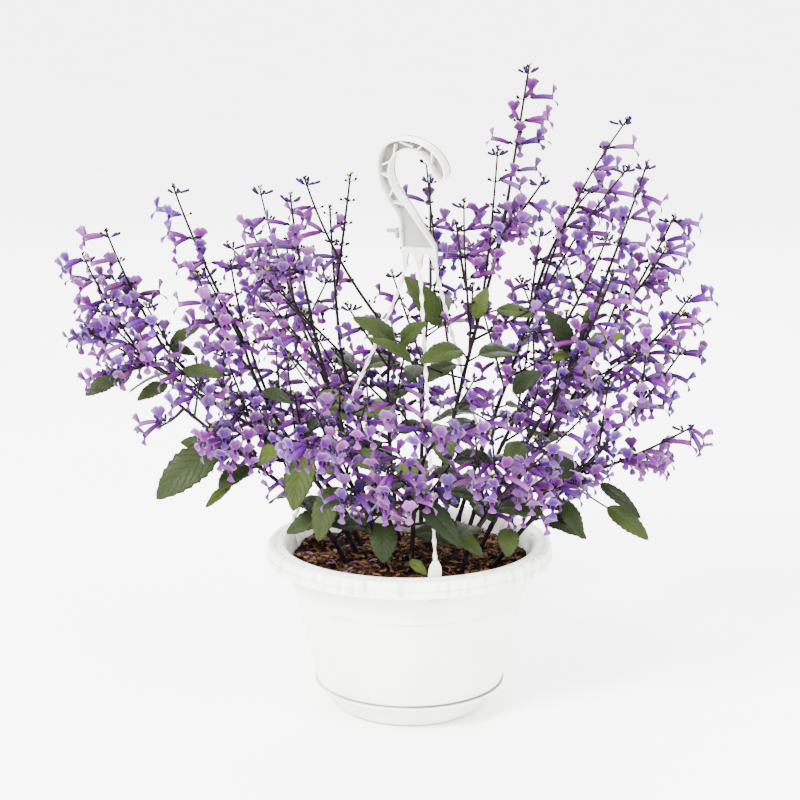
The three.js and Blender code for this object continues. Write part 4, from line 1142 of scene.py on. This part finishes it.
# Leaves: the stem, the blade's foot, its tip and its width.
LEAVES = [
    ("p1", (-159, -75, 251), (-209, -95, 212), 32),
    ("p1", (-156, -62, 246), (-193, -55, 251), 18),
    ("p1", (-149, -70, 218), (-171, -70, 198), 9),
    ("p1", (-127, -62, 237), (-105, -85, 250), 18),
    ("p1", (-88, -55, 242), (-97, -85, 199), 27),
    ("p12", (-65, -80, 219), (-76, -95, 176), 22),
    ("p6", (-75, -30, 289), (-50, -50, 267), 20),
    ("p5", (-11, -20, 325), (-48, -50, 356), 22),
    ("p5", (-8, -22, 327), (15, -45, 351), 18),
    ("p7", (2, -30, 315), (-37, -55, 340), 12),
    ("p5", (27, 35, 335), (-2, 20, 379), 24),
    ("p7", (45, -5, 320), (7, -40, 316), 20),
    ("p7", (56, -5, 348), (66, -10, 375), 16),
    ("p7", (75, 15, 352), (108, -5, 348), 15),
    ("p9", (136, -15, 322), (113, -30, 359), 20),
    ("p9", (136, -15, 319), (119, -35, 316), 11),
    ("p9", (149, -5, 317), (182, -20, 336), 20),
    ("p8", (124, 22, 382), (165, 5, 394), 12),
    ("p9", (87, -25, 288), (112, -40, 308), 18),
    ("p10", (150, 0, 339), (162, -5, 362), 12),
    ("p12", (-22, -80, 187), (-22, -95, 157), 24),
    ("p13", (8, -104, 214), (42, -122, 178), 20),
    ("p13", (0, -86, 157), (14, -96, 147), 10),
    ("p14", (35, -72, 181), (61, -85, 159), 15),
    ("p11", (83, -60, 178), (82, -75, 156), 19),
    ("p11", (141, -55, 230), (100, -75, 228), 24),
    ("p11", (127, -50, 200), (146, -65, 169), 17),
    ("p11", (160, -58, 216), (193, -75, 190), 13),
    ("p11", (167, -50, 193), (202, -60, 167), 18),
    ("p1", (-67, -60, 192), (-104, -72, 176), 18),
    ("p3", (-207, 8, 322), (-180, 0, 339), 12),
    ("p3", (-207, 5, 321), (-183, -10, 316), 11),
    ("p2", (-196, -5, 301), (-158, -20, 300), 15),
    ("p2", (-208, -8, 291), (-233, -20, 279), 14),
    ("p2", (-251, -5, 296), (-278, -15, 282), 17),
    ("p2", (-240, -5, 308), (-248, -15, 289), 12),
    ("p4", (-125, -30, 290), (-98, -50, 282), 13),
    ("p6", (-49, -30, 236), (-25, -50, 224), 20),
    ("p12", (-13, -60, 230), (17, -75, 222), 18),
    ("p7", (26, -30, 260), (32, -50, 229), 24),
    ("p13", (29, -62, 215), (40, -72, 198), 18),
    ("p6", (-32, -20, 276), (-10, -35, 260), 16),
    ("p12", (-74, -60, 232), (-53, -75, 225), 13),
]

# Leaves placed by the seeded rule: how many on each stem, and their sizes.
MORE_LEAVES = {"p3": 2, "p5": 1, "p6b": 2, "p8": 2, "p10": 2, "p15": 5, "p16": 5, "p17": 5}
MORE_LOW = 0.4
MORE_LENGTH = (38, 58)
MORE_WIDTH = 0.55
MORE_STALK = 12
LEAF_OUT = 1.3
LEAF_TURNS = [0, 20, -20, 42, -42, 65, -65]
LEAF_TEETH = 9
LEAF_THICK = 0.6

# Small leaves low in the middle, painted dark as shade, in pairs on each stem, each pair turned from
# the one below.
INNER_LEAVES = {
    "p12": 10, "p13": 10, "p14": 8, "p11": 8, "p6": 6, "p7": 8,
    "p9": 6, "p1": 6, "p8": 4, "p5": 4, "p4": 4,
}
INNER_KEY = 75
INNER_SHARES = (0.16, 0.74)
INNER_LENGTH = (24, 42)
INNER_WIDTH = 0.62
INNER_STALK = 10
POT_CLEAR = 168
SOIL_CLEAR = MIX_TOP + 22

STEM_ROOT_R = 2.9
STEM_TIP_R = 1.6
STEM_STEPS = 64
STEM_SLIM = 0.78
NODE_STEP = 34
NODE_SWELL = 0.22
RACHIS_ROOT_R = 1.35
RACHIS_TIP_R = 0.75
RACHIS_STEPS = 36
NODE_CLEAR = 0.6
FORK = 0.34
WHORL_STEP = 22
FIRST_WHORL = 7
LAST_SHARE = 0.82

# The whorls that get a spray's flowers, in order, and each slot's turn from straight outward.
WHORL_ORDER = [1, 2, 2, 3, 3, 1, 4, 4]
WHORL_TURNS = [[-35, 35, -100, 100], [0, 70, -70, 180]]

stem_curves = {name: Curve(*places) for name, places in STEMS.items()}


class CadPoints:
    """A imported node's points, to see which of several places its source chose."""

    def __init__(self, node):
        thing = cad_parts[node]
        self.tree = KDTree(len(thing.data.vertices))
        for i, vertex in enumerate(thing.data.vertices):
            self.tree.insert(thing.matrix_world @ vertex.co / MM, i)
        self.tree.balance()

    def has(self, place, near=0.5):
        return self.tree.find(place)[2] < near


def add_stem(builder, name):
    """A square stem with swollen nodes where its leaf pairs sit."""
    curve = stem_curves[name]
    radii = []
    for share in even(STEM_STEPS):
        swell = max(0.0, math.cos(TAU * share * curve.length / NODE_STEP)) ** 12
        radii.append(mix(STEM_ROOT_R, STEM_TIP_R, share) * (STEM_SLIM + NODE_SWELL * swell))
    rod(builder, curve.row(STEM_STEPS), radii, 12, ON_STEM, draw(len(name), 5), square)


def leaf_stalk(builder, root, foot, along):
    """A thin stalk that curves from the stem into the blade."""
    span = foot - root
    bend = root + span * 0.55 - along * span.length * 0.12 - UP * 1.2
    curve = Curve(root - unit(span) * 0.8, bend, foot + along * 1.5)
    rod(builder, curve.row(10), taper(1.05, 0.75, 10), 7, ON_STEM)


def leaf_half_width(width, share):
    """Half the blade's width at a share of its length, with forward-pointing teeth."""
    body = (width / 2) * math.sin(math.pi * share**0.8) ** 0.7
    phase = (share * LEAF_TEETH) % 1
    return body * (1.06 - 0.16 * phase if 0.08 < share < 0.94 else 1.0)


def add_leaf(builder, root, foot, tip, width, facing, *keys, light=1.0, rows=27, columns=15):
    """A quilted, arched and slightly rolled blade with sunken side veins, on its stalk."""
    blade = tip - foot
    length = blade.length
    along = unit(blade)
    across = unit(along.cross(facing))
    upper = across.cross(along)
    leaf_stalk(builder, root, foot, along)
    # Painted shade: a light below 1 scales the tint down and darkens the leaf.
    tint = light * draw(*keys, 41)
    roll = spread(-0.25, 0.35, *keys, 42)
    twist = spread(-0.22, 0.22, *keys, 43)
    wave = TAU * draw(*keys, 44)

    def arch(share):
        return 0.1 * math.sin(math.pi * share) * length

    def place(u, share):
        side = u * max(leaf_half_width(width, share), 0.35 if 0 < share < 1 else 0.12)
        vein = abs((share * VEINS - abs(u) * VEIN_SLANT) % 1 - 0.5) * 2
        quilt = 0.45 * (1 - vein**3) * (1 - abs(u) ** 4) * min(1, 6 * abs(u))
        quilt *= math.sin(math.pi * share) ** 0.3
        fold = abs(side) * 0.28 * (1 - 0.55 * abs(u) * (1 + roll))
        ripple = 0.5 * math.sin(share * 17 + wave + (1.6 if u > 0 else 0)) * u * u
        lift = arch(share) + fold + quilt + ripple + 0.25
        turn = twist * share
        point = foot + along * (share * length) + across * (side * math.cos(turn))
        return point + upper * (lift + side * math.sin(turn))

    add_sheet(builder, rows, columns, place, LEAF_THICK, tint, ON_TOP, ON_UNDER)
    shares = taper(0, 0.94, 14)
    rib = [foot + along * (share * length) + upper * (arch(share) - 0.35) for share in shares]
    rod(builder, rib, taper(0.7, 0.22, 14), 5, ON_UNDER)


def add_inner_leaves(builder, stem, number):
    """Pairs of small leaves along the lower part of a stem, clear of the pot's rim."""
    count = INNER_LEAVES.get(stem, 0)
    for i in range(count):
        keys = (INNER_KEY, number, i)
        pair = i // 2
        share = mix(*INNER_SHARES, (pair + 0.5) / (count / 2)) + spread(-0.02, 0.02, *keys, 1)
        place = stem_curves[stem].at(share)
        angle = spread(0, TAU, INNER_KEY, number, 2) + math.pi * (i % 2) + pair * math.pi / 2
        way = unit(toward(angle, spread(-0.6, 0.15, *keys, 3)))
        foot = place + way * INNER_STALK + UP * 6
        length = spread(*INNER_LENGTH, *keys, 4)
        tip = foot + way * length
        lowest = min(foot.z, tip.z)
        over_rim = math.hypot(tip.x, tip.y) > MOUTH_R - 20
        if lowest < (POT_CLEAR if over_rim else SOIL_CLEAR):
            continue
        facing = toward(angle) * 0.6 + Vector((0, -0.5, 1))
        width = length * INNER_WIDTH
        # light=0.4 is painted shade: these leaves deep in the plant are darkened.
        add_leaf(builder, place, foot, tip, width, facing, *keys, light=0.4, rows=19, columns=11)


def make_leafy_stems():
    """Each stem with its shown, its seeded and its inner leaves.

    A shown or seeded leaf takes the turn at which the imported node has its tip.
    """
    rows = {name: [] for name in STEMS}
    for i, (stem, foot, tip, width) in enumerate(LEAVES):
        facing = Vector((0, -1, 1 / LEAF_OUT))
        rows[stem].append((Vector(foot), Vector(tip), width, facing, (70, i)))
    for key, (stem, count) in enumerate(MORE_LEAVES.items()):
        for i in range(count):
            place = stem_curves[stem].at(MORE_LOW + ((1 - MORE_LOW) * (i + 0.5)) / count)
            angle = spread(0, TAU, key, i, 1) + i * 2.4
            way = unit(toward(angle, spread(-0.5, 0.1, key, i, 2)))
            length = spread(*MORE_LENGTH, key, i, 3)
            foot = place + way * MORE_STALK
            foot.z = place.z + 9
            facing = toward(angle, 1 / LEAF_OUT)
            keys = (71, key, i)
            rows[stem].append((foot, foot + way * length, length * MORE_WIDTH, facing, keys))
    for number, (stem, leaves) in enumerate(rows.items()):
        node = "leafy_stem_" + stem[1:]
        cad, builder = CadPoints(node), Builder()
        add_stem(builder, stem)
        spots = stem_curves[stem].row(40)[12:]
        for foot, tip, width, facing, keys in leaves:
            under = foot - UP * 8
            root = min(spots, key=lambda spot: (spot - under).length)
            for turn in LEAF_TURNS:
                end = foot + rotation(turn, size=3) @ (tip - foot)
                if cad.has(end):
                    add_leaf(builder, root, foot, end, width, facing, *keys)
                    break
        add_inner_leaves(builder, stem, number)
        builder.piece("leaves_" + stem[1:], LEAF_LOOKS, "stem_and_leaf", node)


# Flowers

PEDICEL = 6
STALK_RISE = 0.35
TUBE = 19

# Rings of the tube: the share of its length, the radius and the arch of its middle line.
TUBE_RINGS = [
    (0.0, 0.9, 0.0), (0.1, 1.55, 0.15), (0.3, 2.05, 0.6),
    (0.55, 2.15, 0.8), (0.8, 2.2, 0.5), (1.0, 2.4, 0.0),
]

# Rings inside the mouth: radius and depth.
THROAT = [(1.5, -0.9), (0.9, -3.5)]
TUBE_SIDES = 8
CALYX_SIDES = 8
LIP_ROWS = 6
LIP_COLUMNS = 7
BOAT_ROWS = 6
BOAT_COLUMNS = 5

# A bud from its base: the share of its length and the factor of its radius.
BUD_SHAPE = [(0, 0.35), (0.12, 0.7), (0.35, 0.8), (0.6, 0.95), (0.8, 1.0), (0.93, 0.7), (1.0, 0.2)]


def petal_basis(heading, lift):
    """A flower's own directions: along its tube, to its right and up."""
    tube = heading * math.cos(lift) + UP * math.sin(lift)
    right = unit(tube.cross(UP))
    return tube, right, right.cross(tube)


def stalk_way(heading):
    return unit(heading + UP * STALK_RISE)


def mouth_of(root, heading, lift, size):
    return root + stalk_way(heading) * PEDICEL + petal_basis(heading, lift)[0] * (TUBE * size)


def add_flower(builder, root, heading, lift, size, *keys):
    """One open flower: stalk, toothed calyx, curved tube, fanned upper lip and hanging boat."""
    tube, right, up = basis = petal_basis(heading, lift)
    stalk = stalk_way(heading)
    calyx = root + stalk * PEDICEL
    mouth = mouth_of(root, heading, lift, size)
    tint = draw(*keys, 51)
    curve = Curve(root - stalk * 0.5, root + stalk * (PEDICEL * 0.7), calyx + tube * 0.6)
    rod(builder, curve.row(4), [0.42, 0.36, 0.36, 0.42, 0.7], 5, ON_CALYX)
    add_calyx(builder, calyx, basis, 4.2, 1.45)

    def at(x, y, z):
        return mouth + right * (x * size) + up * (y * size) + tube * (z * size)

    rings = [(radius, (share - 1) * TUBE, arch, share) for share, radius, arch in TUBE_RINGS]
    rings += [(radius, depth, 0, 0.1) for radius, depth in THROAT]
    points, marks = [], []
    for radius, z, arch, mark in rings:
        for k, angle in enumerate(turns(TUBE_SIDES)):
            x, y = 0.92 * radius * math.cos(angle), radius * math.sin(angle) + arch
            points.append(at(x, y, z))
            marks.append((k / TUBE_SIDES, mark, tint))
    builder.add(points, tube_faces(len(rings), TUBE_SIDES, flip=True), ON_TUBE, marks)
    wide = spread(0.85, 1.08, *keys, 52)
    lean = spread(-0.5, 2.0, *keys, 53)
    ruffle = TAU * draw(*keys, 54)
    long = spread(0.88, 1.05, *keys, 55)
    drop = spread(0.6, 1.25, *keys, 56)

    def upper_lip(u, v):
        notch = 1.3 * math.exp(-((u / 0.2) ** 2))
        reach = 10.2 - notch - 4.2 * abs(u) ** 3
        x = u * mix(1.9, 6.4 * wide, v**0.85) * (1 - 0.06 * math.cos(9 * u) * v)
        z = -0.9 + lean * v * v + 0.6 * math.sin(5 * u + ruffle) * v * v + 2.6 * u * u * v
        return at(x, 1.3 + reach * v, z)

    def boat(u, v):
        belly = math.sin(math.pi * clamp((v - 0.22) / 0.82, 0, 1)) ** 0.8
        half = 1.3 * (1 - v) + 2.8 * belly + 0.12
        rim = 1.5 * u * u * math.sin(math.pi * min(1, v * 1.1))
        z = -0.2 + 3.6 * math.sin(v * math.pi / 2) / drop * 0.8 + rim
        return at(-u * half, -1.5 - 7.6 * long * v, z)

    lip_size, boat_size = (LIP_ROWS, LIP_COLUMNS), (BOAT_ROWS, BOAT_COLUMNS)
    add_sheet(builder, *lip_size, upper_lip, BLADE_THICK, tint, ON_LIP, ON_LIP)
    add_sheet(builder, *boat_size, boat, BLADE_THICK, tint, ON_LIP, ON_LIP, start=0.25)


def add_calyx(builder, base, basis, length, radius):
    """A small bell with teeth, open to half its depth."""
    way, right, up = basis
    points, marks = [], []
    for share, wide, tooth in ((-0.05, 0.45, 0), (0.25, 0.95, 0), (0.7, 1.0, 0.3), (0.5, 0.62, 0)):
        for k, angle in enumerate(turns(CALYX_SIDES)):
            reach = (share + (tooth if k % 2 else 0)) * length
            out = right * math.cos(angle) + up * math.sin(angle)
            points.append(base + way * reach + out * (radius * wide))
            marks.append((k / CALYX_SIDES, share, 0.5))
    builder.add(points, tube_faces(4, CALYX_SIDES, flip=True), ON_CALYX, marks)


def add_pod(builder, root, heading, lift, length, radius):
    """An emptied calyx on its stalk."""
    basis = petal_basis(heading, lift)
    stalk = stalk_way(heading)
    base = root + stalk * (PEDICEL * 0.8)
    places = [root - stalk * 0.5, root + stalk * (PEDICEL * 0.4), base + basis[0] * 0.3]
    rod(builder, places, [0.4, 0.32, 0.4], 5, ON_CALYX)
    add_calyx(builder, base, basis, length, radius)


def add_bud(builder, root, heading, lift, length, radius, tint):
    """A closed bud: a dark calyx and a swollen violet tip."""
    tube, _, up = basis = petal_basis(heading, lift)
    stalk = stalk_way(heading)
    base = root + stalk * (PEDICEL * 0.6)
    rod(builder, [root - stalk * 0.4, base], [0.36, 0.36], 5, ON_CALYX)
    places = [base + tube * (s * length) + up * (0.12 * length * s * s) for s, _ in BUD_SHAPE]
    rod(builder, places, [radius * wide for _, wide in BUD_SHAPE], 7, ON_BUD, tint)
    add_calyx(builder, base, basis, 2.6, radius * 0.8)


def add_grain(builder, root, heading, lift, length, *keys):
    """One grain of the young tip cluster."""
    way = petal_basis(heading, lift)[0]
    places = [root + way * reach for reach in (0, 1.2, 1.2 + 0.5 * length, 1.2 + length)]
    rod(builder, places, [0.3, 0.6, 0.8, 0.25], 6, ON_CALYX, draw(*keys, 70))


# Sprays

# Turns in degrees that are tried for a flower until it fits.
FLOWER_TURNS = [0, 28, -28, 56, -56]
MORE_TURNS = [0, 35, -35, 75, -75, 120, -120]
MORE_ORDER = [1, 2, 3, 3, 4, 2, 4, 5, 5, 3, 1, 4, 6, 6, 5, 7, 7, 2]
MORE_SHARE = 1.2

# Sprays whose tip is past these places across carry flowers up to their first whorl.
OUTER_LEFT = -245
OUTER_RIGHT = 205

MOUTH_ROOM = 9
BOX_ROOM = 17
GRAINS = 6
CALYX_R = 1.15
BUD_R = 1.3

SIDE_KEY = 100
SIDE_SPRAYS = 4
SIDE_SHARES = (0.42, 0.97)
SIDE_TURN = 1.5
SIDE_RISE = (25, 70)
SIDE_LENGTH = (55, 105)
SIDE_LEAST = 40
SIDE_FLOWERS = 2
SIDE_TURNS = [0, 25, -25, 50, -50, 75, -75]
SIDE_MORE = 5

# The space that the side sprays stay in, its top by place across, and the hanger's room in it.
CROWN_LOW = (-290, -200, 0)
CROWN_HIGH = (250, 215, 560)
CROWN_TOP = [(-300, 390), (-200, 440), (-60, 440), (40, 440), (90, 520), (200, 470), (260, 400)]
PLATE_ROOM = ((-30, -50, 380), (62, 30, 520))


def within(place, low, high):
    return all(low[k] < place[k] < high[k] for k in range(3))


def rachis(foot, tip, bow, swing):
    """A spray's axis: bowed down by a share of its length and swung aside by another."""
    chord = tip - foot
    side = unit(chord.cross(UP))
    over = side.cross(chord)
    bend = foot + chord * 0.5 - over * bow + side * (swing * chord.length)
    return Curve(foot, bend, tip)


def spray_curves(stem, share, tips, bow, swing):
    """The axis of a main spray, and its fork where it has one."""
    way = stem_curves[stem].way(share)
    place = stem_curves[stem].at(share)
    first, *others = [Vector(tip[:3]) for tip in tips]
    if share == 1:
        place = place + way * (NODE_CLEAR + 0.6 * RACHIS_ROOT_R)
    else:
        off = first - place
        off = unit(off - way * off.dot(way))
        radius = mix(STEM_ROOT_R, STEM_TIP_R, share)
        place = place + off * (radius + RACHIS_ROOT_R + NODE_CLEAR)
    main = rachis(place, first, bow, swing)
    return [main, *[rachis(main.at(FORK), other, bow, -swing) for other in others]]


def whorls(length, *keys):
    """The shares of an axis at which its whorls sit, from the tip down."""
    shares, down = [], FIRST_WHORL
    while down < length * LAST_SHARE:
        shares.append(1 - down / length)
        down += WHORL_STEP * spread(0.85, 1.15, *keys, len(shares) - 1)
    return shares


class Spray:
    """One axis with its flowers. Its draws are keyed as in the part's source."""

    mouths = []
    low = [edge / MM - BOX_ROOM for edge in cad_box[0]]
    high = [edge / MM + BOX_ROOM for edge in cad_box[1]]

    def __init__(self, builder, curve, tip, number, fork, cad):
        self.builder, self.curve, self.cad = builder, curve, cad
        self.keys = (number, fork)
        self.x, y, z, self.count = tip
        self.outward = math.atan2(y, self.x)
        self.lift = -18 + 14 * clamp((z - 300) / 150, -1, 1)
        self.shares = whorls(curve.length, number, fork)
        self.taken = [0] * len(self.shares)

    def spread(self, low, high, *keys):
        return spread(low, high, *self.keys, *keys)

    def slope(self, low, high, *keys):
        return math.radians(self.spread(low, high, *keys))

    def heading(self, whorl, slot, more):
        turn = WHORL_TURNS[whorl % 2][slot % 4] + self.spread(-14, 14, whorl, slot, 1)
        return toward(self.outward + math.radians(turn + more))

    def pose(self, whorl, slot, swing, sizes, key):
        """A flower's root, lift and size."""
        lift = math.radians(self.lift + self.spread(-swing, swing, whorl, slot, key))
        return self.curve.at(self.shares[whorl]), lift, self.spread(*sizes, whorl, slot, key + 1)

    def add(self, root, heading, lift, size, key, whorl, slot):
        add_flower(self.builder, root, heading, lift, size, key, *self.keys, whorl, slot)
        self.mouths.append(mouth_of(root, heading, lift, size))

    def has_room(self, mouth):
        if not within(mouth, self.low, self.high):
            return False
        return all((mouth - other).length >= MOUTH_ROOM for other in self.mouths)

    def open_flowers(self):
        """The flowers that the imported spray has, each where it was placed."""
        for i in range(self.count):
            whorl = min(WHORL_ORDER[i], len(self.shares) - 1)
            slot = self.taken[whorl]
            self.taken[whorl] += 1
            root, lift, size = self.pose(whorl, slot, 22, (0.9, 1.08), 2)
            for more in FLOWER_TURNS:
                heading = self.heading(whorl, slot, more)
                tube, _, up = petal_basis(heading, lift)
                mouth = mouth_of(root, heading, lift, size)
                if self.cad.has(mouth + up * (-9 * size) + tube * (3.5 * size)):
                    self.add(root, heading, lift, size, 80, whorl, slot)
                    break

    def more_flowers(self, wanted, order):
        """Further flowers that show on the plant, where they have room."""
        for whorl in order:
            if wanted <= 0 or whorl >= len(self.shares):
                continue
            slot = self.taken[whorl]
            root, lift, size = self.pose(whorl, slot, 26, (0.86, 1.04), 12)
            for more in MORE_TURNS:
                heading = self.heading(whorl, slot, more)
                if self.has_room(mouth_of(root, heading, lift, size)):
                    self.add(root, heading, lift, size, 81, whorl, slot)
                    self.taken[whorl] += 1
                    wanted -= 1
                    break

    def finish(self):
        """Grains at the tip, buds round the first whorl and emptied calyces round the others."""
        flowering = self.count > 1
        for k in range(GRAINS):
            heading = toward(TAU * (k + draw(*self.keys, 60)) / GRAINS)
            place = self.curve.at(1 - 0.004 * k)
            lift, length = self.slope(20, 70, k, 61), self.spread(1.6, 3.2, k, 62)
            add_grain(self.builder, place, heading, lift, length, *self.keys, k)
        for whorl, share in enumerate(self.shares):
            root = self.curve.at(share)
            start = TAU * draw(*self.keys, whorl, 63)
            for k, turn in enumerate(turns(6 if whorl else 5)):
                foot = (self.builder, root, toward(start + turn))
                if whorl == 0 and flowering:
                    lift, length = self.slope(5, 45, k, 64), self.spread(5, 9, k, 65)
                    add_bud(*foot, lift, length, BUD_R, draw(*self.keys, k, 66))
                elif draw(*self.keys, whorl, k, 67) < (0.5 if flowering else 0.7):
                    lift = self.slope(10, 60, whorl, k, 68)
                    add_pod(*foot, lift, self.spread(2.4, 3.4, whorl, k, 69), CALYX_R)


def make_sprays():
    """The main sprays. All of them get their packed flowers before any gets more."""
    sprays, pieces = [], []
    for number, (stem, share, tips, bow, swing) in enumerate(SPRAYS):
        node = "flower_spray_%02d" % (number + 1)
        cad, builder = CadPoints(node), Builder()
        for fork, curve in enumerate(spray_curves(stem, share, tips, bow, swing)):
            places = curve.row(RACHIS_STEPS)
            radii = taper(RACHIS_ROOT_R, RACHIS_TIP_R, RACHIS_STEPS)
            if fork == 0:
                places.insert(0, stem_curves[stem].at(share))
                radii.insert(0, RACHIS_ROOT_R)
            rod(builder, places, radii, 8, ON_AXIS, outline=square)
            sprays.append(Spray(builder, curve, tips[fork], number, fork, cad))
        pieces.append((builder, node))
    for spray in sprays:
        spray.open_flowers()
    for spray in sprays:
        wanted = round(spray.count * MORE_SHARE) if spray.count > 1 else 0
        if wanted and not OUTER_LEFT < spray.x < OUTER_RIGHT:
            spray.more_flowers(wanted + 2, [0, 0, *MORE_ORDER])
        else:
            spray.more_flowers(wanted, MORE_ORDER)
        spray.finish()
    for builder, node in pieces:
        builder.piece("bloom_" + node[-2:], SPRAY_LOOKS, "flower_spray", node)


def crown_top(x):
    """The height that the crown reaches at a place across."""
    for (x0, z0), (x1, z1) in zip(CROWN_TOP, CROWN_TOP[1:]):
        if x <= x1:
            return mix(z0, z1, (x - x0) / (x1 - x0))
    return CROWN_TOP[-1][1]


def is_open(place):
    inside = within(place, CROWN_LOW, CROWN_HIGH) and not within(place, *PLATE_ROOM)
    return inside and place.z < crown_top(place.x)


def side_curve(curve, number, fork, turn):
    """A side spray's straight axis at a turn from its drawn direction, or None without room."""
    share = (fork + draw(90, number, fork)) / SIDE_SPRAYS
    place = curve.at(mix(*SIDE_SHARES, share))
    out = math.atan2(place.y, place.x) + spread(-SIDE_TURN, SIDE_TURN, 91, number, fork)
    rise = math.radians(spread(*SIDE_RISE, 92, number, fork))
    way = toward(out + math.radians(turn)) * math.cos(rise) + UP * math.sin(rise)
    length = spread(*SIDE_LENGTH, 93, number, fork)
    while not is_open(place + way * length) and length > SIDE_LEAST:
        length -= 10
    return Curve(place, place + way * length) if length > SIDE_LEAST else None


def make_side_sprays():
    """The short sprays from the stems' upper part, which fill the crown."""
    for number, (stem, curve) in enumerate(stem_curves.items()):
        node = "leafy_stem_" + stem[1:]
        cad, builder = CadPoints(node), Builder()
        for fork in range(SIDE_SPRAYS):
            axes = [side_curve(curve, number, fork, turn) for turn in SIDE_TURNS]
            axis = next((a for a in axes if a and cad.has(a.at(1), 1.0)), None)
            if not axis:
                continue
            rod(builder, axis.row(20), taper(1.1, 0.7, 20), 8, ON_AXIS, outline=square)
            tip = (*axis.at(1), SIDE_FLOWERS)
            spray = Spray(builder, axis, tip, SIDE_KEY + number, fork, cad)
            spray.open_flowers()
            spray.more_flowers(SIDE_MORE, MORE_ORDER)
            spray.finish()
        if builder.count:
            builder.piece("side_blooms_" + stem[1:], SPRAY_LOOKS, "flower_spray", node)


# Studio, with places and sizes in metres

FLOOR_HALF = 150
FLOOR_DROP = 0.0002
CAMERA_PLACE = (-0.0084, -1.606, 0.623)
CAMERA_PITCH = 12.22
CAMERA_LENS = 85.5
CAMERA_SENSOR = 36
WORLD_LIGHT = 6.0

# Each light's name, place, size and power. They all point at the plant's middle.
LIGHTS = [
    ("key", (-1.6, -2.2, 2.4), 1.0, 520),
    ("fill", (2.2, -1.8, 1.4), 2.0, 80),
    ("back", (0.4, 2.4, 2.2), 1.6, 90),
]
LIGHT_TARGET = Vector((0, 0, 0.3))


def make_floor():
    builder = Builder()
    half, z = FLOOR_HALF / MM, -FLOOR_DROP / MM
    corners = [(-half, -half, z), (half, -half, z), (half, half, z), (-half, half, z)]
    builder.add(corners, [(0, 1, 2, 3)])
    floor = show(bpy.data.objects.new("floor", builder.mesh("floor", [floor_look()])))
    floor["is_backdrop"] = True


def add_light(name, place, size, power):
    light = bpy.data.lights.new(name, "AREA")
    light.shape = "DISK"
    light.size = size
    light.energy = power
    made = show(bpy.data.objects.new(name, light))
    made.location = place
    made.rotation_euler = (LIGHT_TARGET - Vector(place)).to_track_quat("-Z", "Y").to_euler()


def make_camera():
    camera = bpy.data.cameras.new("camera")
    camera.lens = CAMERA_LENS
    camera.sensor_width = CAMERA_SENSOR
    made = show(bpy.data.objects.new("camera", camera))
    made.location = CAMERA_PLACE
    made.rotation_euler = (math.radians(90 - CAMERA_PITCH), 0, 0)
    bpy.context.scene.camera = made


def make_world():
    world = bpy.data.worlds.new("studio")
    world.use_nodes = True
    sky = world.node_tree.nodes["Background"]
    sky.inputs["Color"].default_value = (1, 1, 1, 1)
    sky.inputs["Strength"].default_value = WORLD_LIGHT
    bpy.context.scene.world = world


make_pot()
make_saucer()
make_mix()
make_hanger()
make_leafy_stems()
make_sprays()
make_side_sprays()
make_floor()
make_world()
make_camera()
for row in LIGHTS:
    add_light(*row)

visual_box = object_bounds()
boxes = {"cad": cad_box, "visual": visual_box}
{name: [list(corner) for corner in box] for name, box in boxes.items()}
